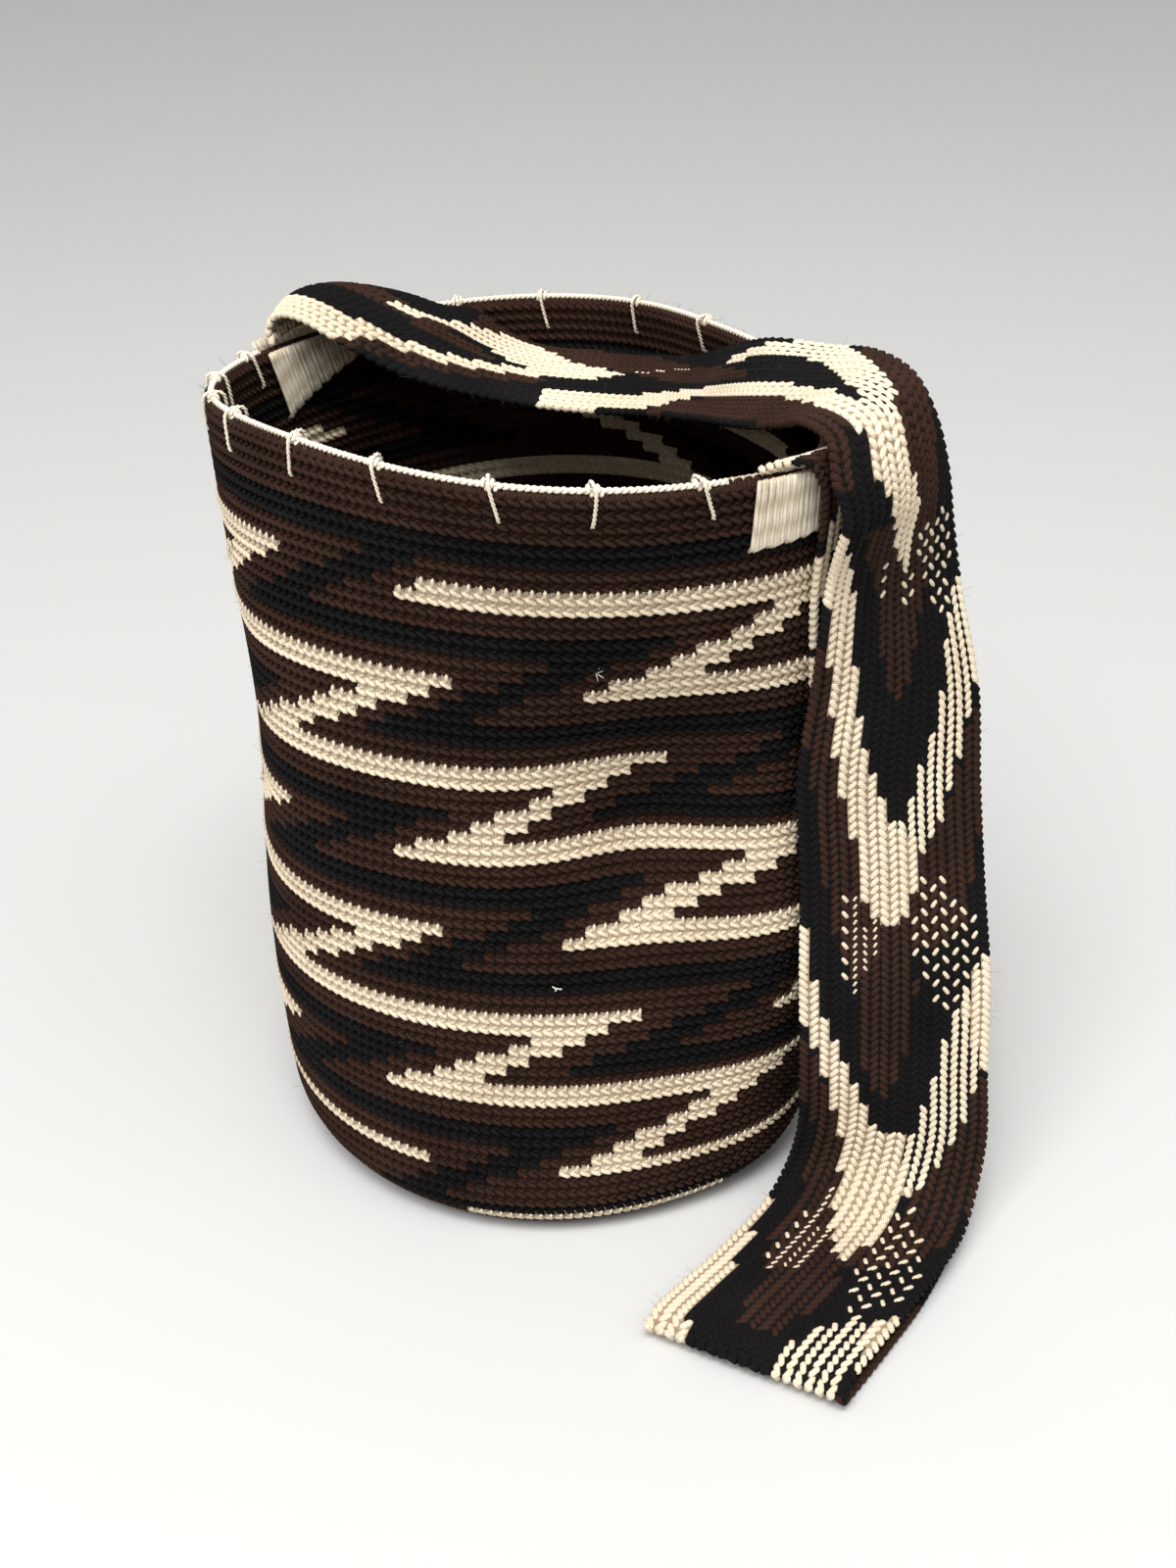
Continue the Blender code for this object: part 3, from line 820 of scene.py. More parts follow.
    def _loops(self, kind: LoopKind, rows: range) -> list[bpy.types.Object]:
        """Set one kind of loop down in every stitch of some rounds.

        Args:
            kind: The kind of loop.
            rows: The rounds.

        Returns:
            A piece for each yarn.
        """
        loop = YarnLoop(kind.sides)
        gathered = {yarn: MeshParts() for yarn in Yarn}
        for row in rows:
            share, places = self._places(row)
            surface = -self._thickness(row) if kind.inside else 0.0
            for yarn, place in places:
                stitch = self.stitch_at(place, row - 0.5) + kind.right
                wobble = kind.wobble * np.sin(place * 12.9 + row * 78.2)
                centre, right, down, out = self.shape.axes(stitch, row - kind.above, surface + kind.out)
                length = right / share * kind.reach[0] + down * (kind.reach[1] + wobble[:, None])
                width = unit(np.cross(out, length)) * kind.half_width
                height = out * (-kind.half_height if kind.inside else kind.half_height)
                loop.set_down(gathered[yarn], self._on_floor(centre, row), length, width, height)
        return [
            set_on_frame(parts.build(f"{kind.name}_{yarn.name.lower()}", [FINISHES[yarn]]), "body_yarn")
            for yarn, parts in gathered.items() if parts.count
        ]

    def _places(self, row: int) -> tuple[float, list[tuple[Yarn, Array]]]:
        """Return how crowded a round's stitches are, and the places that each yarn has.

        Args:
            row: The round. Towards the base's middle it holds fewer stitches.

        Returns:
            The share of a full round's stitches that it holds, and the places of each yarn.
        """
        share = 1.0
        if row > self.shape.wall_rounds + self.corner_rounds + 1:
            left = self.shape.wall_rounds + self.base_rounds - row
            share = max(left / self.base_rounds, self.least_share)
        values = np.array([yarn.value for yarn in self.yarns[row]])
        places = []
        for yarn in Yarn:
            columns = np.nonzero(values == yarn.value)[0]
            if len(columns) and share < 1.0:
                amount = max(round(len(columns) * share), 1)
                places.append((yarn, (np.arange(amount) + 0.5) * len(columns) / amount))
            elif len(columns):
                places.append((yarn, columns + 0.5))
        return share, places

    def _thickness(self, row: float) -> float:
        """Return how thick the shell is at a round."""
        on_base = row > self.shape.wall_rounds + self.corner_rounds
        return self.shape.base_thickness if on_base else self.shape.thickness

    def _on_floor(self, centre: Array, row: int) -> Array:
        """Lift the base's loops so that they rest on the floor."""
        if row >= self.shape.wall_rounds + self.corner_rounds:
            centre[:, 2] = np.maximum(centre[:, 2], self.floor_gap)
        return centre

    def _rim_chain(self) -> bpy.types.Object:
        """Build the chain of loops that closes the last round along the rim's top."""
        loop, parts = YarnLoop(6), MeshParts()
        stitch = np.arange(self.shape.stitches) + 0.5
        centre, right, _, out = self.shape.axes(stitch, 0.0, -self.shape.thickness / 2)
        up = np.zeros_like(out)
        up[:, 2] = 1.0
        for side in (-1.0, 1.0):
            length = right * self.chain_reach + out * self.chain_lean * side
            middle = centre + out * self.chain_width * side + up * self.chain_lift
            loop.set_down(parts, middle, length, out * self.chain_width, up * self.chain_height)
        return set_on_frame(parts.build("rim_chain", [FINISHES[Yarn.BROWN]]), "body_yarn")

    def _teeth(self) -> bpy.types.Object:
        """Build the small points where a cream stitch reaches up into the dark round above it."""
        loop, parts = YarnLoop(5), MeshParts()
        for row in range(2, self.shape.wall_rounds + 1):
            pairs = enumerate(zip(self.yarns[row], self.yarns[row - 1]))
            columns = np.array([
                k for k, (here, above) in pairs if here is Yarn.CREAM and above is not Yarn.CREAM
            ])
            if not len(columns):
                continue
            stitch = self.stitch_at(columns + 0.5, row - 0.5) + self.tooth_right
            centre, right, down, out = self.shape.axes(stitch, row - self.tooth_above, self.tooth_out)
            length = down * -self.tooth_rise + right * self.tooth_lean
            loop.set_down(parts, centre, length, right * self.tooth_width, out * self.tooth_height)
        return set_on_frame(parts.build("cream_teeth", [FINISHES[Yarn.CREAM]]), "body_yarn")


class Station(NamedTuple):
    """A place on the strap's route, in degrees, shares and mm.

    The near edge lies at an angle about the bag, at a share of the wall's radius and past it,
    and at a share of the rim's height and a lift above that. The far edge lies at a heading
    from it, rises by some mm and is spread as wide as given. The middle bows outwards and
    crowns upwards.
    """

    angle: float
    share: float
    past: float
    rim_share: float
    lift: float
    heading: float
    rise: float
    spread: float
    bow: float
    crown: float


LEFT_END = (
    (142.5, 1, -4, 1, 2.5, 50, -2, 48, 6, 2),
    (142, 1, -3.5, 1, 8, 51, -3, 50, 7, 4),
    (141, 1, -9, 1, 14, 52, -5, 54, 7, 5),
    (140, 0.83, 0, 1, 14.5, 52, -7, 59, 5, 4),
)
ACROSS_MOUTH = (
    (137.5, 0.71, 0, 1, 8, 55, -5, 63, 1, 2),
    (131.5, 0.56, 0, 1, -0.5, 64, 2.5, 64.5, 0, 0),
    (117.5, 0.41, 0, 1, -6, 74, 0, 64.5, 0, 0),
    (88, 0.33, 0, 1, -13.5, 82, -2, 65.5, 0, 0),
    (49, 0.41, 0, 1, -23, 84, -2, 68.5, 0, 0),
    (22, 0.54, 0, 1, -25, 86, -1, 64, 0, 0),
    (-10, 0.59, 0, 1, -11.5, 87, -0.5, 62.5, 0, 0),
    (-34, 0.74, 0, 1, 3, 77.5, 7.5, 61.5, 0, 0),
)
OVER_RIM = (
    (-38, 1, -17, 1, 8.5, 69, 2, 68.5, 2, 1),
    (-41.5, 1, -6, 1, 13.5, 64, -1, 71, 5, 2),
    (-43.5, 1, 5.5, 1, 11, 61, -2, 71, 8, 2),
    (-46, 1, 12, 1, 0.5, 57, -3, 72.5, 8, 0),
    (-45.5, 1, 16, 1, -12.5, 54, -6, 68, 5, 0),
    (-45, 1, 12.5, 1, -26.5, 48, -11, 67, 2, 0),
)
HANGING = (
    (-44.5, 1, 8.5, 0.865, 0, 42, -21, 71.5, 0, 0),
    (-46, 1, 7, 0.745, 0, 29, -20, 72.5, 0, 0),
    (-48, 1, 7, 0.62, 0, 21, -18, 74, 0, 0),
    (-48, 1, 6.5, 0.485, 0, 13, -10, 69.5, 0, 0),
    (-48.5, 1, 7.5, 0.35, 0, 4, -5, 69.5, 0, 0),
    (-49, 1, 14, 0.215, 0, -1, -2, 68.5, 0, 0),
    (-48.5, 1, 15.5, 0.135, 0, -7, -1, 69.5, 0, 0),
)
FOLD_ON_FLOOR = (
    (-49.5, 1, 14.5, 0, 22, -14, 1, 71.5, 0, 0),
    (-55, 1, 17.5, 0, 12, -17, 0, 74.5, 0, 0),
    (-66, 1, 29, 0, 10.4, -17, 0, 76.5, 0, 0),
    (-74, 1, 40, 0, 10, -22, 0, 76.5, 0, 0),
    (-78, 1, 47.5, 0, 9.6, -28, 0, 76, 0, 0),
    (-79.5, 1, 51, 0, 6, -29, 0, 76.5, 0, 0),
    (-78, 1, 46.5, 0, 2.4, -28, 0, 76, 0, 0),
    (-73, 1, 38.5, 0, 2.4, -22, 0, 75.5, 0, 0),
    (-65, 1, 28, 0, 2.4, -17, 0, 74.5, 0, 0),
    (-54, 1, 15.5, 0, 2.8, -15, 0, 71.5, 0, 0),
    (-47, 1, 12, 0, 7, -11, 0, 65, 0, 0),
    (-43.5, 1, 10, 0, 20, -4, -1, 60.5, 0, 0),
)
BEHIND = (
    (-44, 1, 8, 0.14, 0, 7, -2, 58, 0, 0),
    (-44.5, 1, 5.5, 0.23, 0, 19, -4, 58.5, 0, 0),
    (-45, 1, 3.5, 0.35, 0, 31, -5, 60.5, 0, 0),
    (-45, 1, 3.5, 0.49, 0, 42, -8, 64, 0, 0),
    (-45, 1, 4, 0.62, 0, 51, -7, 67, 1, 0),
    (-44.5, 1, 3.5, 0.74, 0, 58, -6, 68, 3, 0),
)
RIGHT_END = (
    (-44.5, 1, 3, 1, -47, 62, -4, 67.5, 3, 0),
    (-44.5, 1, 5.5, 1, -22, 63, -4, 67.5, 4, 0),
    (-45, 1, 7, 1, -5, 63, -4, 69.5, 4, 0),
    (-47, 1, 4.5, 1, 4.5, 62, -4, 69.5, 4, -0.5),
    (-49.5, 1, 0, 1, 5, 60, -7, 68.5, 6, -0.5),
    (-53.5, 1, -3.5, 1, 2.5, 59, -9, 64, 8.5, -0.5),
)
ROUTE = LEFT_END + ACROSS_MOUTH + OVER_RIM + HANGING + FOLD_ON_FLOOR + BEHIND + RIGHT_END


Band = tuple[tuple[float, float, float], ...]
Cell = tuple[Yarn, Yarn, float]


class CordStyle(Enum):
    """How the strap's cords are worked, with their share of a column's width."""

    SOLID = 1.0
    CHAIN = 0.95
    DOT = 0.72
    THREAD = 0.50


@dataclass(frozen=True)
class StrapPattern:
    """The strap's pattern. A band lists places along it in mm, each with the band's two edges.

    Edges are counted across the strap, from -1 at its near edge to 1 at its far edge.
    """

    solid: tuple[Band, ...] = (
        ((0, -1, 0.9), (7, -1, 0.9)),
        ((7, -1, -0.46), (36, -1, -0.42), (42, -0.64, -0.36), (60, -0.46, -0.25), (80, -0.25, 0),
         (100, -0.08, 0.2)),
        ((96, -0.1, 0.45), (104, -0.08, 0.55), (112, -0.07, 0.4), (120, 0.03, 0.32),
         (127, 0.17, 0.24)),
        ((98, -1, -0.44), (140, -0.9, -0.42), (160, -0.57, -0.25), (180, -0.39, -0.11),
         (240, -0.39, -0.07), (260, -0.61, -0.29), (275, -0.71, -0.36), (284, -0.66, -0.2)),
        ((283, -0.64, -0.07), (300, -0.54, -0.04), (320, -0.21, 0.21), (330, -0.11, 0.21),
         (341, 0.1, 0.17)),
        ((318, -1, -0.95), (340, -1, -0.68), (350, -0.98, -0.63), (380, -0.82, -0.51),
         (400, -0.71, -0.39), (420, -0.56, -0.18), (432, -0.48, -0.05), (441, -0.43, -0.1)),
        ((435, -0.04, 0.02), (440, -0.43, 0.12), (445, -0.39, 0.29), (461, -0.39, 0.25),
         (470, -0.29, 0.14), (477, -0.1, -0.04)),
        ((475, -1, -0.96), (500, -1, -0.82), (510, -0.99, -0.77), (530, -0.8, -0.54),
         (560, -0.57, -0.21), (572, -0.46, -0.1), (582, -0.42, -0.2)),
        ((486, 0.96, 1), (500, 0.76, 1), (512, 0.72, 1), (528, 0.86, 1), (536, 0.96, 1)),
        ((563, -0.25, 0.1), (575, -0.36, 0.21), (585, -0.39, 0.32), (595, -0.34, 0.29),
         (605, -0.21, 0.25), (612, -0.07, 0.21), (620, 0.04, 0.1)),
        ((595, -1, -0.96), (620, -1, -0.8), (640, -0.98, -0.7), (655, -0.96, -0.64),
         (695, -0.96, -0.62)),
        ((641, 0.96, 1), (648, 0.8, 1), (654, 0.75, 1), (660, 0.9, 1)),
        ((1094, -1, 0.2), (1120, -1, 0.2)),
    )
    chain: tuple[Band, ...] = (
        ((32, 0.28, 0.44), (50, 0.34, 0.5), (62, 0.39, 0.7), (72, 0.34, 0.86), (82, 0.2, 0.92),
         (92, 0.1, 0.88), (104, 0.1, 0.6)),
        ((206, 0.5, 0.6), (228, 0.54, 0.85), (244, 0.53, 1), (255, 0.29, 0.96), (265, -0.07, 0.71),
         (275, -0.33, 0.29), (284, -0.3, -0.07)),
        ((346, 0.92, 1), (352, 0.8, 1), (370, 0.61, 1), (380, 0.57, 0.96), (400, 0.43, 0.82),
         (420, 0.25, 0.66), (432, 0.16, 0.58), (440, 0.07, 0.46), (448, 0.07, 0.33)),
        ((488, 0.93, 1), (500, 0.72, 1), (520, 0.54, 1), (530, 0.49, 0.99), (550, 0.32, 0.79),
         (570, 0.16, 0.57), (582, 0.18, 0.46), (588, 0.25, 0.35)),
        ((650, 0.55, 1), (656, 0.4, 1), (662, 0.32, 1), (680, 0.29, 0.85), (700, 0.2, 0.7)),
    )
    dots: tuple[Band, ...] = (
        ((322, 0.72, 0.9), (326, 0.26, 0.85), (338, 0.3, 0.85), (350, 0.42, 0.83), (362, 0.6, 0.7)),
        ((336, -0.24, -0.12), (354, -0.24, -0.12)),
        ((340, 0.1, 0.25), (356, 0.1, 0.25)),
        ((457, 0.28, 0.5), (464, 0.22, 0.68), (473, 0.2, 0.92), (490, 0.2, 0.92), (500, 0.3, 0.7),
         (511, 0.5, 0.58)),
        ((464, -0.6, -0.5), (500, -0.6, -0.5)),
        ((590, 0.3, 0.42), (600, 0.3, 0.6), (612, 0.3, 0.76), (630, 0.3, 0.95), (640, 0.42, 0.8),
         (650, 0.5, 0.58)),
        ((600, -0.62, -0.52), (628, -0.62, -0.52)),
    )
    threads: tuple[Band, ...] = (
        ((127, 0.18, 0.26), (150, 0.4, 0.48), (176, 0.52, 0.6)),
        ((464, -0.46, -0.37), (503, -0.46, -0.37)),
        ((475, -0.36, -0.27), (495, -0.36, -0.27)),
        ((474, -0.26, -0.16), (487, -0.26, -0.16)),
        ((588, -0.44, -0.36), (633, -0.44, -0.36)),
        ((604, -0.36, -0.27), (629, -0.36, -0.27)),
        ((604, -0.26, -0.16), (629, -0.26, -0.16)),
    )
    brown: tuple[Band, ...] = (
        ((38, -1, -0.62), (60, -0.72, -0.46), (80, -0.5, -0.25), (98, -0.3, -0.1)),
        ((7, 0.2, 0.75), (25, 0.2, 0.65), (45, 0.1, 0.34), (62, 0.05, 0.3), (76, 0.0, 0.15)),
        ((60, 0.7, 1), (90, 0.85, 1), (104, 0.5, 1), (130, 0.25, 0.9), (150, 0.1, 0.85),
         (180, 0.05, 0.6), (200, 0.05, 0.45), (222, 0.05, 0.2)),
        ((142, -1, -0.9), (160, -0.9, -0.56), (200, -0.85, -0.36), (240, -0.95, -0.39),
         (262, -1, -0.6), (280, -1, -0.72), (300, -1, -0.85)),
        ((262, 0.7, 1), (272, 0.35, 1), (284, -0.07, 1), (300, -0.04, 0.6), (316, 0.1, 0.55),
         (336, 0.2, 0.6), (350, -0.3, 0.4), (365, -0.25, 0.25), (378, -0.18, 0.16),
         (390, -0.05, 0.05)),
        ((318, -0.66, -0.2), (332, -0.55, 0), (342, -0.4, 0.3), (352, -0.3, 0.4)),
        ((372, -1, -0.88), (400, -1, -0.7), (430, -0.8, -0.48), (450, -0.76, -0.38),
         (470, -0.72, -0.28), (485, -0.56, 0.1), (500, -0.4, 0.22), (520, -0.4, 0.18),
         (538, -0.3, 0.02), (546, -0.2, -0.1)),
        ((392, 0.9, 1), (430, 0.6, 1), (445, 0.3, 0.93), (460, 0.25, 0.84), (476, -0.1, 0.75),
         (486, -0.2, 0.4)),
        ((522, -1, -0.9), (545, -1, -0.7), (560, -0.84, -0.57), (585, -0.74, -0.4),
         (605, -0.72, -0.2), (622, -0.6, 0.1), (635, -0.4, 0.25), (650, -0.38, 0.22),
         (664, -0.2, 0.1)),
        ((535, 0.96, 1), (560, 0.66, 1), (582, 0.44, 1), (600, 0.28, 0.9), (614, 0.2, 0.72),
         (625, 0.1, 0.4)),
        ((676, 0.86, 1), (700, 0.7, 1)),
    )
    repeat_start: float = 475.0
    repeat: float = 134.0
    seen_to: float = 697.0
    bound_from: float = 1094.0
    columns: int = 19

    def phase_of(self, along: float) -> float:
        """Return the place in the drawn part that a place in mm repeats."""
        if along <= self.seen_to or along >= self.bound_from:
            return along
        return self.repeat_start + (along - self.repeat_start) % self.repeat

    def inside(self, bands: tuple[Band, ...], along: float, across: float) -> bool:
        """Say whether a place lies in one of some bands.

        Args:
            bands: The bands.
            along: The place along the strap in mm.
            across: The place across it, in -1 to 1.

        Returns:
            True where one of them holds it.
        """
        for band in bands:
            places = [place for place, _, _ in band]
            if not places[0] <= along <= places[-1]:
                continue
            left = np.interp(along, places, [edge for _, edge, _ in band])
            right = np.interp(along, places, [edge for _, _, edge in band])
            if left <= across <= right:
                return True
        return False

    def cell(self, across: float, along: float, segment: int) -> Cell:
        """Return the yarns of a cell.

        Args:
            across: The cell's place across the strap, in -1 to 1.
            along: Its distance from the strap's first end in mm.
            segment: Its number along the strap.

        Returns:
            The cord's yarn, the yarn under it, and the cord's share of the column's width. Under brown
            ground cords the yarn under it is black, painted shade between the cords.
        """
        place = self.phase_of(along)
        if self.inside(self.solid, place, across):
            return Yarn.CREAM, Yarn.CREAM, CordStyle.SOLID.value
        if self.inside(self.chain, place, across):
            return Yarn.CREAM, Yarn.BLACK, CordStyle.CHAIN.value
        ground = Yarn.BROWN if self.inside(self.brown, place, across) else Yarn.BLACK
        staggered = (segment + round((across + 1) * self.columns / 2 - 0.5)) % 2 == 0
        if staggered and self.inside(self.dots, place, across):
            return Yarn.CREAM, ground, CordStyle.DOT.value
        if self.inside(self.threads, place, across):
            return Yarn.CREAM, ground, CordStyle.THREAD.value
        # Under brown ground cords the sheet is black: painted shade between the cords.
        return ground, Yarn.BLACK, CordStyle.SOLID.value


@dataclass
class WovenStrap:
    """The strap: a sheet on its route, covered on both sides with twisted cords."""

    shape: WallShape
    pattern: StrapPattern
    width: float = 0.070
    length: float = 1.106
    segment: float = 0.0031
    half_sheet: float = 0.0006
    sheet_edge: float = 0.015
    half_cord: float = 0.0017
    half_width: float = 0.00150
    reach: tuple[float, float] = (0.80, 0.44)
    chain_reach: tuple[float, float] = (0.86, 0.30)

    def __post_init__(self) -> None:
        """Work the route out."""
        self.stations = np.array([self._station(Station(*numbers)) for numbers in ROUTE])
        self.knots = length_along((self.stations[:, :3] + self.stations[:, 3:6]) / 2)
        place = np.arange(len(self.stations))
        before, after = np.maximum(place - 1, 0), np.minimum(place + 1, place[-1])
        reach = (self.knots[after] - self.knots[before])[:, None]
        self.slopes = (self.stations[after] - self.stations[before]) / reach

    def _station(self, station: Station) -> Array:
        """Return a station's near edge, far edge and bow, nine numbers."""
        turn = math.radians(station.angle)
        height = station.rim_share * float(self.shape.rim_height(np.array(turn))) + station.lift / 1000
        near = self.shape.point(turn, height, station.past / 1000, station.share)
        width, rise = station.spread / 1000, station.rise / 1000
        level = math.sqrt(max(width * width - rise * rise, 0.0))
        toward = math.radians(station.heading)
        far = near + np.array([level * math.cos(toward), level * math.sin(toward), rise])
        outward = np.array([math.sin(toward), -math.cos(toward), 0.0]) * station.bow / 1000
        if outward @ (near - self.shape.middle(np.array(height))) < 0:
            outward = -outward
        return np.concatenate([near, far, outward + np.array([0.0, 0.0, station.crown / 1000])])

    def sections(self, along: Array) -> Array:
        """Return near edge, far edge and bow at distances along the route."""
        index = np.clip(np.searchsorted(self.knots, along, side="right") - 1, 0, len(self.knots) - 2)
        step = self.knots[index + 1] - self.knots[index]
        share = ((along - self.knots[index]) / step)[:, None]
        step = step[:, None]
        return (
            self.stations[index] * (2 * share**3 - 3 * share**2 + 1)
            + self.slopes[index] * step * (share**3 - 2 * share**2 + share)
            + self.stations[index + 1] * (3 * share**2 - 2 * share**3)
            + self.slopes[index + 1] * step * (share**3 - share**2)
        )

    def surface(self, along: Array, across: Array) -> Array:
        """Return the middle surface at distances along and shares across, as a grid."""
        return self.across(self.sections(along)[:, None], across[None, :, None])

    def across(self, cut: Array, share: Array) -> Array:
        """Return the points at shares across some sections."""
        near, far, bow = cut[..., :3], cut[..., 3:6], cut[..., 6:]
        return near * (1 - share) + far * share + bow * 4 * share * (1 - share)

    def build(self) -> list[bpy.types.Object]:
        """Build the sheet and the cords.

        Returns:
            The sheet, then the cords of each yarn.
        """
        total = self.knots[-1]
        count = round(total / self.segment)
        cells = self._cells(count)
        sheet = self._sheet(count, total, cells)
        cords = self._cords(count, total, cells)
        return [sheet, *cords]

    def _cells(self, count: int) -> list[list[Cell]]:
        """Return the yarns of every cell, by segment and column."""
        across = [(column + 0.5) / self.pattern.columns * 2 - 1 for column in range(self.pattern.columns)]
        along = [(row + 0.5) / count * self.length * 1000 for row in range(count)]
        return [[self.pattern.cell(x, place, row) for x in across] for row, place in enumerate(along)]

    def _sheet(self, count: int, total: float, cells: list[list[Cell]]) -> bpy.types.Object:
        """Build the closed sheet under the cords. Where it shows between them, black under brown cords
        and a darker cream under solid cream are painted shade.
        """
        along = np.linspace(0.0, total, count + 1)
        across = np.linspace(0.0, 1.0, self.pattern.columns + 1)
        across[[0, -1]] = self.sheet_edge, 1.0 - self.sheet_edge
        middle = self.surface(along, across)
        normal = unit(np.cross(np.gradient(middle, axis=0), np.gradient(middle, axis=1)))
        wide = self.pattern.columns + 1
        size = (count + 1) * wide
        parts = MeshParts()
        half = normal * self.half_sheet
        parts.add_points(np.stack([middle + half, middle - half]))
        row, column = np.meshgrid(np.arange(count), np.arange(self.pattern.columns), indexing="ij")
        first = (row * wide + column).ravel()
        quads = np.stack([first, first + wide, first + wide + 1, first + 1], 1)
        slots = [cell[1].value for line in cells for cell in line]
        corners = face_uvs((row, column), (row + 1, column), (row + 1, column + 1), (row, column + 1))
        parts.add_faces(quads, corners, slots)
        parts.add_faces((quads + size)[:, ::-1], corners, slots)
        rims = (
            (np.arange(count + 1) * wide, self.pattern.columns, Yarn.BLACK),
            (np.arange(wide), count * wide, Yarn.BROWN),
        )
        for line, to_other, yarn in rims:
            for edge in (line, line + to_other):
                sides = np.stack([edge[:-1], edge[1:], edge[1:] + size, edge[:-1] + size], 1)
                parts.add_faces(sides, slots=yarn.value)
        # Under cream cords the sheet takes the darker cream yarn, painted shade between the cords.
        under = {**FINISHES, Yarn.CREAM: SHADED_UNDER_CREAM}
        piece = parts.build("strap_sheet", [under[yarn] for yarn in Yarn])
        face_outwards(piece)
        return set_on_frame(piece, "strap_yarn", "strap")

    def _cords(self, count: int, total: float, cells: list[list[Cell]]) -> list[bpy.types.Object]:
        """Build the twisted cords, whose slant turns from one column to the next."""
        along = (np.arange(count) + 0.5) / count * total
        across = (np.arange(self.pattern.columns) + 0.5) / self.pattern.columns
        centre = self.surface(along, across)
        step = total / count
        lengthwise = unit(np.gradient(centre, axis=0)) * step
        sideways = np.gradient(centre, axis=1)
        normal = unit(np.cross(lengthwise, sideways))
        size = np.array([[cell[2] for cell in row] for row in cells])[..., None]
        turned = np.where(np.arange(self.pattern.columns) % 2 == 0, 1.0, -1.0)[None, :, None]
        reach = np.where(size == CordStyle.CHAIN.value, self.chain_reach, self.reach)
        length = lengthwise * reach[..., :1] + sideways * turned * reach[..., 1:]
        width = unit(np.cross(normal, length)) * self.half_width * size
        length = length * np.minimum(1.0, size + 0.08)
        height = normal * self.half_cord * np.minimum(1.0, size + 0.15)
        value = np.array([[cell[0].value for cell in row] for row in cells])
        loop = YarnLoop(8)
        pieces = []
        for yarn in Yarn:
            parts = MeshParts()
            chosen = value == yarn.value
            loop.set_down(parts, centre[chosen], length[chosen], width[chosen], height[chosen])
            piece = parts.build(f"strap_cords_{yarn.name.lower()}", [FINISHES[yarn]])
            pieces.append(set_on_frame(piece, "strap_yarn"))
        return pieces


def face_outwards(piece: bpy.types.Object) -> None:
    """Turn all faces of a closed piece outwards."""
    bpy.ops.object.select_all(action="DESELECT")
    piece.select_set(True)
    bpy.context.view_layer.objects.active = piece
    bpy.ops.object.mode_set(mode="EDIT")
    bpy.ops.mesh.select_all(action="SELECT")
    bpy.ops.mesh.normals_make_consistent(inside=False)
    bpy.ops.object.mode_set(mode="OBJECT")
    piece.select_set(False)


